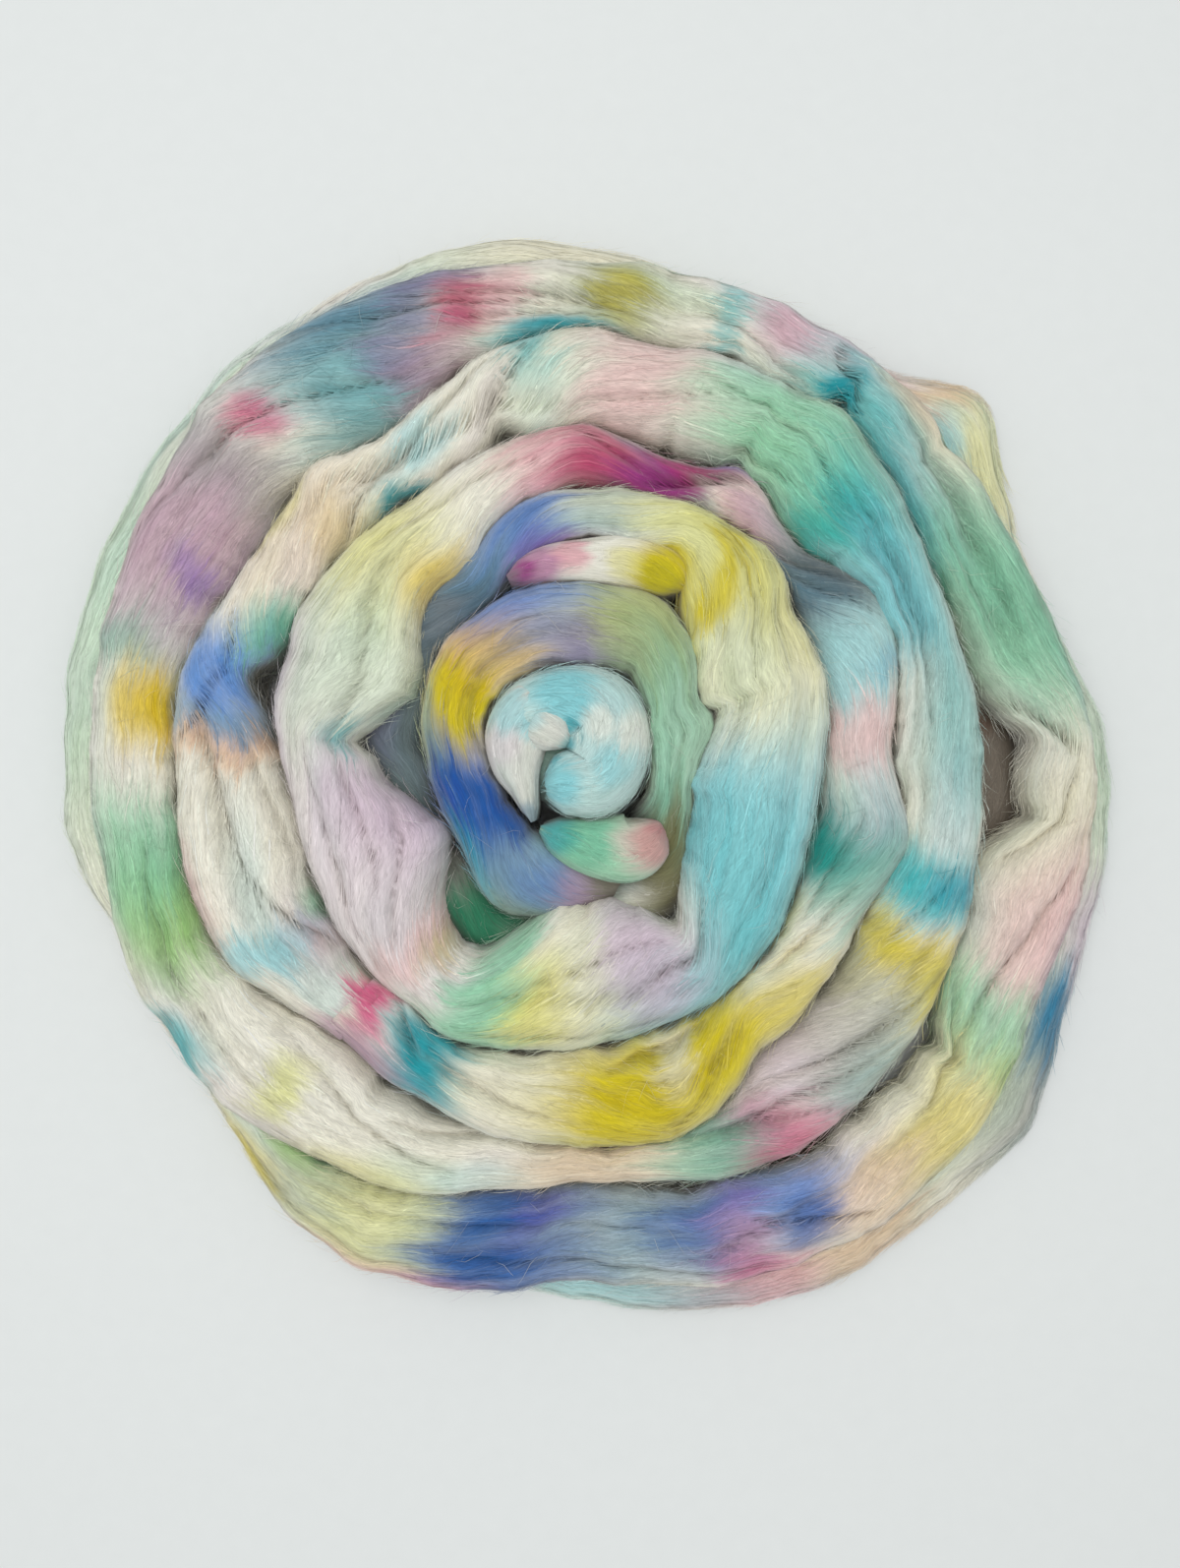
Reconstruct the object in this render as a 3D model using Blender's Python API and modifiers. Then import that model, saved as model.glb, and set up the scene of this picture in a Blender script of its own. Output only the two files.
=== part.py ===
"""Combed wool roving wound by hand into a loose nest: one length of soft strand, one closed solid.

The strand starts in a curled knob in the middle and runs outwards, clockwise from above, for six
turns. It rests flat on a surface at z = 0, and the middle of its outline is the origin.
"""

import math
from collections import namedtuple

import bmesh
import bpy
import numpy as np

MM = 0.001

# Driving dimensions, in millimetres
WINDING_CENTRE = (1.3, 5.9)  # where the turns are centred, from the middle of the outline
PRESS = 0.7  # how far each turn is pressed into its neighbours on either side
SETTLE = 4.0  # what the soft strand loses where it lies flat on the surface
CROWN_SHARE = 0.50  # height of a turn's rounded top for each unit of its width
CROWN_LEAST = 9.0
CROWN_MOST = 27.0
TOP_POWER = 2.3  # 2 is an ellipse; more is fuller
FOOT_POWER = 2.5
SECTIONS_PER_HOUR = 8
SECTION_POINTS = 28
SECTION_STEP = 4.0  # along a fold
VOXEL = 2.4
SMOOTHING_ROUNDS = 1
KEPT_SHARE = 0.051  # of the fused surface's triangles
CUTTER_DEPTH = 20.0
OUTLINE = 480.0  # wider than the nest

# A place along the winding. Its hour is the clock hour seen from above, counted on from turn to
# turn. The inner and outer edges are distances from the winding's centre. Top and under are the
# heights of the strand's two sides, and a turn with nothing below it has its under at 0.
Place = namedtuple("Place", "hour inner outer top under")
PLACES = [
    # first turn, round the knob
    Place(5.5, 33, 58, 50, 0),
    Place(6, 33, 59, 56, 0),
    Place(7, 34, 68, 64, 0),
    Place(8, 33, 61, 67, 0),
    Place(9, 38, 63, 68, 0),
    Place(10, 43, 72, 68, 0),
    Place(11, 39, 73, 67, 0),
    Place(12, 35, 70, 69, 0),
    Place(13, 34, 66, 68, 0),
    Place(14, 24, 49, 66, 0),
    Place(15, 23, 43, 64, 0),
    Place(16, 24, 48, 60, 0),
    Place(17, 30, 70, 54, 0),
    Place(18, 44, 81, 48, 0),
    # second turn: low at first, then broad over the right of the knob
    Place(19, 62, 91, 44, 0),
    Place(20, 60, 89, 43, 0),
    Place(21, 63, 102, 45, 0),
    Place(22, 71, 96, 47, 0),
    Place(23, 75, 97, 54, 0),
    Place(24, 85, 107, 62, 0),
    Place(24.775, 82, 108, 67, 0),
    Place(25, 69, 110, 68, 0),
    Place(26, 46, 99, 71, 0),
    Place(27, 40, 92, 72, 0),
    Place(28, 44, 96, 71, 0),
    Place(28.725, 56, 104, 68, 0),
    Place(29, 71, 105, 67, 0),
    Place(29.35, 60, 109, 67, 0),
    Place(30, 52, 114, 67, 0),
    Place(30.7, 66, 121, 68, 0),
    Place(31, 86, 124, 63, 0),
    # third turn, which starts in a sharp fold over the second
    Place(31.35, 83, 124, 53, 0),
    Place(32, 62, 121, 67, 0),
    Place(33, 90, 121, 65, 0),
    Place(33.2, 96, 124, 65, 0),
    Place(33.45, 84, 129, 65, 0),
    Place(34, 80, 131, 64, 0),
    Place(34.325, 91, 129, 63, 0),
    Place(35, 92, 127, 60, 0),
    Place(36, 107, 134, 54, 0),
    Place(36.55, 108, 126, 51, 0),
    Place(37, 109, 131, 49, 0),
    Place(37.5, 105, 121, 48, 0),
    Place(38, 99, 137, 48, 0),
    Place(39, 91, 122, 51, 0),
    Place(39.5, 91, 133, 52, 0),
    Place(40, 95, 126, 53, 0),
    Place(41, 104, 136, 57, 0),
    Place(41.425, 108, 153, 58, 0),
    Place(42, 112, 155, 59, 0),
    Place(43, 122, 152, 54, 0),
    # fourth turn, after a twist
    Place(43.5, 122, 153, 47, 0),
    Place(44, 120, 167, 55, 0),
    Place(45, 123, 169, 53, 0),
    Place(45.375, 131, 169, 52, 0),
    Place(46, 129, 160, 50, 0),
    Place(46.55, 128, 166, 50, 0),
    Place(47, 126, 156, 51, 0),
    Place(48, 133, 176, 52, 0),
    Place(48.375, 130, 173, 52, 0),
    Place(49, 130, 172, 52, 0),
    Place(49.5, 121, 170, 52, 0),
    Place(50, 132, 159, 51, 0),
    Place(51, 122, 160, 50, 0),
    Place(51.5, 129, 163, 50, 0),
    Place(52, 125, 169, 49, 0),
    Place(53, 137, 182, 45, 0),
    Place(53.45, 153, 178, 42, 0),
    Place(54, 154, 172, 41, 0),
    Place(55, 153, 195, 45, 0),
    Place(55.525, 152, 206, 46, 6),
    # fifth turn, which lies on the sixth where they meet
    Place(56, 166, 208, 44, 10),
    Place(57, 168, 206, 42, 12),
    Place(58, 161, 211, 43, 10),
    Place(59, 157, 216, 42, 10),
    Place(60, 175, 208, 40, 10),
    Place(61, 172, 206, 40, 10),
    Place(62, 162, 199, 40, 6),
    Place(62.55, 163, 203, 38, 3),
    Place(63, 179, 211, 34, 2),
    Place(63.275, 177, 212, 35, 3),
    Place(63.45, 164, 212, 36, 4),
    Place(64, 169, 212, 38, 8),
    Place(65, 189, 227, 36, 10),
    Place(65.575, 182, 223, 37, 9),
    Place(66, 174, 214, 38, 8),
    Place(66.35, 178, 223, 37, 7),
    Place(67, 196, 232, 34, 4),
    Place(67.525, 196, 212, 30, 2),
    # sixth turn, low and mostly under the fifth, thinning out to the loose end
    Place(68, 187, 211, 27, 0),
    Place(69, 190, 223, 22, 0),
    Place(70, 190, 225, 22, 0),
    Place(71, 192, 224, 22, 0),
    Place(71.7, 192, 224, 22, 0),
    Place(72, 192, 218, 22, 0),
    Place(73, 191, 214, 21, 0),
    Place(73.3, 194, 222, 18, 0),
    Place(73.55, 196, 232, 16, 0),
    Place(74, 193, 207, 17, 0),
    Place(75, 192, 220, 20, 0),
    Place(76, 196, 230, 20, 0),
    Place(76.375, 204, 243, 17, 0),
    Place(76.7, 205, 240, 18, 0),
    Place(77, 205, 243, 20, 0),
    Place(78, 208, 230, 16, 0),
    Place(78.5, 211, 219, 9, 0),
]

# A trough that runs along the strand between two hours. Its place across the strand goes from -1
# at the inner edge to 1 at the outer edge.
Trough = namedtuple("Trough", "start end across_start across_end depth width")
TROUGHS = [
    Trough(9.3, 12.6, -0.75, 0.1, 7.0, 9.0),
    Trough(25.2, 28.5, 0.75, 0.35, 5.0, 10.0),
    Trough(24.8, 27.2, -0.35, -0.75, 6.0, 9.0),
    Trough(29.0, 31.2, 0.45, 0.10, 7.0, 10.0),
    Trough(32.0, 35.0, 0.55, 0.75, 6.0, 10.0),
    Trough(33.2, 35.2, -0.60, 0.15, 8.0, 11.0),
    Trough(40.5, 43.0, 0.25, -0.35, 7.0, 10.0),
    Trough(43.6, 45.3, -0.10, 0.30, 12.0, 10.0),
    Trough(46.2, 47.9, 0.50, -0.55, 9.0, 9.0),
    Trough(48.8, 51.2, -0.45, 0.15, 7.0, 9.0),
    Trough(51.6, 53.4, 0.55, -0.20, 7.0, 10.0),
    Trough(54.6, 56.4, 0.35, -0.25, 7.0, 10.0),
    Trough(57.4, 59.6, 0.10, 0.55, 7.0, 11.0),
    Trough(59.4, 61.3, -0.50, 0.35, 8.0, 10.0),
    Trough(61.2, 62.6, 0.60, -0.45, 9.0, 9.0),
    Trough(63.6, 65.2, 0.40, -0.30, 7.0, 11.0),
    Trough(65.4, 67.4, -0.15, 0.45, 7.0, 10.0),
]

# A fold of the same strand that lies on the turns. Each stop has its place across and along the
# surface from the winding's centre, its width and its height.
Stop = namedtuple("Stop", "x y width top")
FOLDS = {
    "knob": [
        Stop(-33, 12, 16, 70),
        Stop(-22, 18, 26, 74),
        Stop(-9, 22, 30, 77),
        Stop(5, 19, 34, 78),
        Stop(9, 5, 34, 78),
        Stop(3, -7, 32, 77),
        Stop(-10, -9, 25, 75),
        Stop(-20, -5, 18, 72),
    ],
    "knob_end": [
        Stop(-24, -22, 9, 66),
        Stop(-27, -9, 17, 72),
        Stop(-28, 4, 24, 75),
        Stop(-20, 9, 22, 76),
        Stop(-11, 7, 12, 75),
    ],
    "tuck_under_knob": [
        Stop(-19, -26, 12, 60),
        Stop(-7, -30, 20, 64),
        Stop(5, -33, 26, 68),
        Stop(17, -33, 27, 68),
        Stop(28, -25, 14, 64),
    ],
    "tuck_inside_second_turn": [
        Stop(-32, 72, 10, 57),
        Stop(-20, 76, 17, 61),
        Stop(0, 78, 20, 64),
        Stop(20, 77, 24, 65),
        Stop(31, 72, 20, 66),
        Stop(38, 67, 11, 64),
    ],
}

WOOL_COLOUR = (0.62, 0.70, 0.68, 1.0)
WOOL_ROUGHNESS = 0.9


def slopes(keys, values):
    """Tangents of a smooth curve through the values, one at each key."""
    return np.gradient(values, keys)


def smooth_between(keys, values, at):
    """The value at one key of a smooth curve through a table's column."""
    keys = np.asarray(keys, float)
    values = np.asarray(values, float)
    tangents = slopes(keys, values)
    i = int(np.clip(np.searchsorted(keys, at) - 1, 0, len(keys) - 2))
    span = keys[i + 1] - keys[i]
    t = (at - keys[i]) / span
    return (
        (2 * t**3 - 3 * t**2 + 1) * values[i]
        + (t**3 - 2 * t**2 + t) * span * tangents[i]
        + (3 * t**2 - 2 * t**3) * values[i + 1]
        + (t**3 - t**2) * span * tangents[i + 1]
    )


def trough_depth(hour, across, half_width):
    """How far the troughs lower the strand's top at one point."""
    depth = 0.0
    for trough in TROUGHS:
        if not trough.start < hour < trough.end:
            continue
        along = (hour - trough.start) / (trough.end - trough.start)
        middle = trough.across_start + along * (trough.across_end - trough.across_start)
        offset = (across - middle) * half_width / (trough.width / 2)
        depth += trough.depth * math.sin(math.pi * along) ** 0.5 * math.exp(-(offset**2))
    return depth


def section(half_width, top, under, lowering):
    """Points (across, up) round one section: a rounded crown on a foot that reaches its support."""
    crown = min(max(2 * half_width * CROWN_SHARE, CROWN_LEAST), CROWN_MOST, 0.6 * (top - under))
    widest = top - crown
    foot = widest - under + SETTLE
    points = []
    for k in range(SECTION_POINTS):
        angle = 2 * math.pi * k / SECTION_POINTS
        c, s = math.cos(angle), math.sin(angle)
        power = TOP_POWER if s > 0 else FOOT_POWER
        across = math.copysign(abs(c) ** (2 / power), c)
        rise = abs(s) ** (2 / power)
        if s > 0:
            up = widest + rise * max(crown - lowering(across), 0.3 * crown)
        else:
            up = widest - rise * foot
        points.append((across * half_width, up))
    return points


def winding_rings():
    """Sections of the whole winding, each in the upright plane through its clock hour."""
    hours = [place.hour for place in PLACES]
    columns = {name: [getattr(place, name) for place in PLACES] for name in Place._fields}
    steps = round((hours[-1] - hours[0]) * SECTIONS_PER_HOUR)
    rings = []
    for hour in np.linspace(hours[0], hours[-1], steps + 1):
        inner = smooth_between(hours, columns["inner"], hour) - PRESS
        outer = smooth_between(hours, columns["outer"], hour) + PRESS
        top = smooth_between(hours, columns["top"], hour)
        under = max(smooth_between(hours, columns["under"], hour), 0.0)
        half_width = (outer - inner) / 2
        middle = (outer + inner) / 2
        turned = math.radians(30 * hour)
        outward = (math.sin(turned), math.cos(turned))

        def lowering(across, hour=hour, half_width=half_width):
            return trough_depth(hour, across, half_width)

        rings.append(
            [
                (
                    WINDING_CENTRE[0] + outward[0] * (middle + across),
                    WINDING_CENTRE[1] + outward[1] * (middle + across),
                    up,
                )
                for across, up in section(half_width, top, under, lowering)
            ]
        )
    return rings


def fold_rings(stops):
    """Sections of one fold, each square to the fold's own way across the surface."""
    x, y = ([getattr(stop, axis) for stop in stops] for axis in "xy")
    lengths = np.hypot(np.diff(x), np.diff(y))
    along = np.concatenate([[0.0], np.cumsum(lengths)])
    steps = max(int(along[-1] / SECTION_STEP), 4)
    widths = [stop.width for stop in stops]
    tops = [stop.top for stop in stops]
    rings = []
    for s in np.linspace(0, along[-1], steps + 1):
        ahead, behind = min(s + 1, along[-1]), max(s - 1, 0)
        dx = smooth_between(along, x, ahead) - smooth_between(along, x, behind)
        dy = smooth_between(along, y, ahead) - smooth_between(along, y, behind)
        length = math.hypot(dx, dy)
        side = (dy / length, -dx / length)
        centre_x = WINDING_CENTRE[0] + smooth_between(along, x, s)
        centre_y = WINDING_CENTRE[1] + smooth_between(along, y, s)
        half_width = smooth_between(along, widths, s) / 2
        top = smooth_between(along, tops, s)
        rings.append(
            [
                (centre_x + side[0] * across, centre_y + side[1] * across, up)
                for across, up in section(half_width, top, 0.0, lambda across: 0.0)
            ]
        )
    return rings


def loft(bm, rings):
    """Skins the sections into one closed tube."""
    rows = [[bm.verts.new([MM * value for value in point]) for point in ring] for ring in rings]
    for near, far in zip(rows, rows[1:]):
        for k in range(SECTION_POINTS):
            after = (k + 1) % SECTION_POINTS
            bm.faces.new((near[k], near[after], far[after], far[k]))
    bm.faces.new(rows[0])
    bm.faces.new(rows[-1])


def collection_named(name):
    made = bpy.data.collections.new(name)
    bpy.context.scene.collection.children.link(made)
    return made


def wool_material():
    wool = bpy.data.materials.new("dyed_combed_wool")
    wool.use_nodes = True
    shader = wool.node_tree.nodes["Principled BSDF"]
    shader.inputs["Base Color"].default_value = WOOL_COLOUR
    shader.inputs["Roughness"].default_value = WOOL_ROUGHNESS
    shader.inputs["Metallic"].default_value = 0.0
    return wool


def surface_cutter(collection):
    """A slab whose top is the surface that the nest lies on."""
    bm = bmesh.new()
    bmesh.ops.create_cube(bm, size=1.0)
    bmesh.ops.scale(bm, vec=(OUTLINE * MM, OUTLINE * MM, CUTTER_DEPTH * MM), verts=bm.verts)
    bmesh.ops.translate(bm, vec=(0, 0, -CUTTER_DEPTH * MM / 2), verts=bm.verts)
    mesh = bpy.data.meshes.new("surface_cutter")
    bm.to_mesh(mesh)
    bm.free()
    cutter = bpy.data.objects.new("surface_cutter", mesh)
    cutter.hide_render = True
    cutter.display_type = "WIRE"
    collection.objects.link(cutter)
    return cutter


def roving(collection, cutter):
    bm = bmesh.new()
    loft(bm, winding_rings())
    for stops in FOLDS.values():
        loft(bm, fold_rings(stops))
    bmesh.ops.recalc_face_normals(bm, faces=bm.faces)
    mesh = bpy.data.meshes.new("roving")
    bm.to_mesh(mesh)
    bm.free()
    nest = bpy.data.objects.new("roving", mesh)
    collection.objects.link(nest)
    mesh.materials.append(wool_material())

    fused = nest.modifiers.new("fuse the turns", "REMESH")
    fused.mode = "VOXEL"
    fused.voxel_size = VOXEL * MM
    fused.use_smooth_shade = True
    soft = nest.modifiers.new("soften", "SMOOTH")
    soft.factor = 0.5
    soft.iterations = SMOOTHING_ROUNDS
    fewer = nest.modifiers.new("fewer faces", "DECIMATE")
    fewer.ratio = KEPT_SHARE
    flat = nest.modifiers.new("flat underside", "BOOLEAN")
    flat.operation = "DIFFERENCE"
    flat.object = cutter
    return nest


def main():
    for old in list(bpy.data.objects):
        bpy.data.objects.remove(old)
    cutters = collection_named("cutters")
    parts = collection_named("wool_roving")
    roving(parts, surface_cutter(cutters))


main()
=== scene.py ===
import math
from collections import namedtuple

import bpy
import numpy as np
from mathutils.bvhtree import BVHTree
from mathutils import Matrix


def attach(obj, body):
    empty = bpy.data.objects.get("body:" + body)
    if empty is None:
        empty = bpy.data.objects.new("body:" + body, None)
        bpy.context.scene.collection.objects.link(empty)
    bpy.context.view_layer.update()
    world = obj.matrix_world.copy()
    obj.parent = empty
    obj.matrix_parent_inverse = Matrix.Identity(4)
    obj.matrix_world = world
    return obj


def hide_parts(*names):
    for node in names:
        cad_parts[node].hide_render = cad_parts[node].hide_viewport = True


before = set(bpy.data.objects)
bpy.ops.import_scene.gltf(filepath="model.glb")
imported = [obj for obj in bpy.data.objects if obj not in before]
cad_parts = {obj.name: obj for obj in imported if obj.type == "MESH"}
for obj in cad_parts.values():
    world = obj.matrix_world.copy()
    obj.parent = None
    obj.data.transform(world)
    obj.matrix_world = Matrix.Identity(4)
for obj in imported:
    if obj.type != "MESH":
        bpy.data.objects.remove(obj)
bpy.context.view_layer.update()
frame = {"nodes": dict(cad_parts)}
print("frame loaded:", ", ".join(frame["nodes"]))

mm = 0.001
combUnit = 100  # mm of strand in one unit of the combing map
foldStart = 700  # mm along the strand where the short folds take their noise from

# Dye colours, as the wool shows them in soft daylight
dyes = {
    "undyed": "F4F1E5", "cream": "EAE6CF", "shadeWhite": "D8DAD5", "paleYellow": "DEDEA2",
    "butter": "DAD473", "lemon": "CEBC0E", "amber": "DFBE24", "orangeYellow": "D2AE4C",
    "apricot": "D4A76C", "peach": "E1BE9E", "olive": "A3A34A", "oliveBrown": "6A6642",
    "sage": "9DB088", "leaf": "86BC62", "mint": "93CDAA", "paleMint": "BBDCC0",
    "seaGreen": "62B295", "forest": "2A7556", "turquoise": "38B2B6", "teal": "0E94A0",
    "deepTeal": "0A8C82", "oceanBlue": "0A78A0", "cyan": "94D0D6", "paleCyan": "A8D8DC",
    "deepBlue": "12509A", "cornflower": "5588CC", "royalBlue": "2B5C9E", "periwinkle": "6C8FCB",
    "slateBlue": "55829A", "slate": "5A6C72", "charcoal": "34383E", "taupe": "877E74",
    "brown": "6A4A3A", "greyLilac": "81799A", "lilac": "D4C2CF", "paleLilac": "E4D9DE",
    "violet": "8668B2", "plum": "732F64", "fuchsia": "A03C86", "magenta": "B2285F",
    "rose": "D05A84", "pink": "DC9AA8", "palePink": "E8C7C4", "dustyPink": "CA9090",
    "mauve": "B894A8",
}


# sRGB hex to the linear numbers that Blender mixes.
def linear(hexColour):
    parts = [int(hexColour[i : i + 2], 16) / 255 for i in (0, 2, 4)]
    return [p / 12.92 if p <= 0.04045 else ((p + 0.055) / 1.055) ** 2.4 for p in parts]


dyeColour = {name: np.array(linear(value)) for name, value in dyes.items()}

# One length of strand, wound clockwise from the middle outwards. Sizes are in millimetres.
strand = {
    "centre": (1.3, 5.9),
    "inset": 0.5,  # the body stays this far inside the solid, and its fibres fill the rest
    "settle": 4.0,  # how far a turn sinks into what lies under it
    "crownShare": 0.50,  # height of the rounded top, as a share of the width and between these limits
    "crownLeast": 9.0,
    "crownMost": 27.0,
    "topPower": 2.3,  # 2 rounds a section to an ellipse, and more makes it squarer
    "footPower": 2.5,
    "edgeAngle": 0.45,  # radians under the widest line where the top ends and the foot starts
    "laneWidth": 30.0,  # half the strand, in combed lanes of 1 mm
    "foldSlant": 0.25,  # lanes that a fibre crosses in 1 mm of a fold
    # small waves of the edges and the top: height, length and noise layer
    "innerWaves": ((1.5, 13, 11), (0.9, 5, 15)),
    "outerWaves": ((1.5, 15, 12), (0.9, 6, 16)),
    "topWaves": ((0.8, 30, 13),),
    # swells and combed locks: height, width, length and noise layer
    "swells": ((0.8, 15, 42, 2), (0.3, 2.2, 50, 4)),
    "locks": ((1.3, 19, 95, 5), (0.6, 8, 70, 8), (0.4, 4.2, 60, 11)),
    "valley": 0.34,  # share of a lock's noise that falls into the split beside it
    "sharpFold": 6,  # a crease narrower than this has a sharp bottom
}

# hour is the clock hour from above, counted on from turn to turn. The rest are mm: the edges'
# distances from the centre, the height of the top and of what lies under the strand.
Place = namedtuple("Place", "hour inner outer top under", defaults=[0])
places = [Place(*row) for row in (
    (5.5, 33, 58, 50), (6, 33, 59, 56), (7, 34, 68, 64), (8, 33, 61, 67), (9, 38, 63, 68),
    (10, 43, 72, 68), (11, 39, 73, 67), (12, 35, 70, 69), (13, 34, 66, 68), (13.525, 28, 58, 67),
    (14, 24, 49, 66), (14.3, 23, 52, 65), (15, 23, 43, 64), (16, 24, 48, 60), (17, 30, 70, 54),
    (18, 44, 81, 48), (19, 62, 91, 44), (20, 60, 89, 43), (21, 63, 102, 45), (21.2, 65, 107, 45),
    (21.45, 67, 100, 46), (22, 71, 96, 47), (22.525, 73, 98, 50), (23, 75, 97, 54),
    (23.375, 80, 106, 57), (24, 85, 107, 62), (24.525, 83, 108, 66), (24.825, 83, 108, 67),
    (25, 69, 110, 68), (25.45, 57, 108, 70), (25.775, 49, 99, 71), (26, 46, 99, 71),
    (26.3, 48, 97, 72), (27, 40, 92, 72), (28, 44, 96, 71), (28.725, 56, 104, 68),
    (28.875, 62, 105, 67), (29, 71, 105, 67), (29.35, 60, 109, 67), (30, 52, 114, 67),
    (30.7, 66, 121, 68), (31, 86, 124, 63), (31.2, 87, 122, 55), (31.35, 83, 124, 53),
    (32, 62, 121, 67), (33, 84, 121, 65), (33.2, 87, 124, 65), (33.45, 79, 129, 65),
    (34, 74, 131, 64), (34.325, 86, 129, 63), (35, 92, 127, 60), (35.4, 102, 130, 58),
    (36, 107, 134, 54), (36.55, 108, 126, 51), (36.75, 109, 128, 50), (36.9, 109, 133, 49),
    (37, 109, 131, 49), (37.5, 105, 121, 48), (38, 99, 137, 48), (39, 91, 122, 51),
    (39.5, 91, 133, 52), (40, 95, 126, 53), (40.4, 99, 130, 55), (41, 104, 136, 57),
    (41.425, 108, 153, 58), (42, 112, 155, 59), (43, 122, 152, 54), (43.2, 120, 153, 51),
    (43.5, 122, 153, 47), (44, 120, 167, 55), (45, 123, 169, 53), (45.275, 132, 170, 52),
    (46, 129, 160, 50), (46.4, 128, 162, 50), (46.55, 128, 166, 50), (46.725, 127, 160, 51),
    (47, 126, 156, 51), (47.35, 130, 166, 51), (48, 133, 176, 52), (48.25, 132, 172, 52),
    (48.625, 129, 175, 52), (49, 130, 172, 52), (49.2, 124, 176, 52), (49.5, 121, 170, 52),
    (50, 132, 159, 51), (51, 122, 160, 50), (51.5, 129, 163, 50), (52, 125, 169, 49),
    (52.45, 131, 175, 47), (53, 137, 182, 45), (53.45, 153, 178, 42), (54, 154, 172, 41),
    (54.4, 153, 179, 42), (54.8, 154, 193, 44), (55, 153, 195, 45), (55.525, 152, 206, 46, 6),
    (56, 166, 208, 44, 10), (57, 168, 206, 42, 12), (57.4, 169, 207, 42, 11),
    (58, 161, 211, 43, 10), (58.525, 164, 217, 43, 10), (59, 157, 216, 42, 10),
    (59.325, 166, 213, 41, 10), (60, 175, 208, 40, 10), (60.375, 170, 207, 40, 10),
    (60.6, 174, 206, 40, 10), (61, 172, 206, 40, 10), (61.175, 175, 203, 40, 10),
    (61.475, 169, 201, 40, 8), (62, 162, 199, 40, 6), (62.55, 163, 203, 38, 3),
    (62.775, 172, 208, 36, 2), (62.875, 180, 208, 35, 2), (63, 179, 211, 34, 2),
    (63.275, 177, 212, 35, 3), (63.45, 164, 212, 36, 4), (63.675, 166, 211, 37, 6),
    (64, 169, 212, 38, 8), (64.3, 181, 219, 38, 9), (64.8, 185, 226, 36, 10),
    (65, 189, 227, 36, 10), (65.3, 184, 226, 37, 9), (65.6, 182, 222, 37, 9), (66, 174, 214, 38, 8),
    (66.35, 178, 223, 37, 7), (67, 196, 232, 34, 4), (67.525, 196, 212, 30, 2), (68, 187, 211, 27),
    (68.475, 189, 216, 24), (68.65, 190, 222, 23), (69, 190, 223, 26), (70, 190, 225, 26),
    (70.675, 192, 227, 26), (71, 192, 224, 26), (71.7, 192, 224, 26), (72, 192, 218, 22),
    (73, 191, 205, 21), (73.28, 193, 210, 18), (73.42, 195, 220, 17), (73.55, 196, 229, 16),
    (73.8, 195, 216, 17), (74, 193, 207, 17), (75, 192, 220, 20), (76, 196, 230, 20),
    (76.375, 204, 243, 17), (76.7, 205, 240, 18), (77, 205, 243, 20), (78, 209, 229, 14),
    (78.4, 216, 221, 4),
)]

# Short notches in an edge: how far they cut in and half their length in hours
Notch = namedtuple("Notch", "hour edge cut reach")
notches = [Notch(*row) for row in (
    (25.42, "inner", -3, 0.08), (26.28, "inner", 3, 0.08), (27.42, "inner", -2.5, 0.1),
    (33.16, "inner", 3, 0.07), (45.46, "inner", 6, 0.12), (47.5, "inner", 4, 0.06),
    (48.88, "inner", 5, 0.05), (50.1, "inner", -3, 0.1), (55.1, "inner", 5, 0.07),
    (57.5, "outer", -2.5, 0.08), (58.42, "outer", -2.5, 0.06), (60.9, "outer", 3, 0.08),
    (61.16, "inner", 8, 0.05), (61.6, "outer", 4, 0.05), (63.23, "inner", 4, 0.05),
    (64.3, "inner", 4, 0.05), (65.9, "outer", -3, 0.08), (67, "outer", 3, 0.1),
)]

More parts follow.
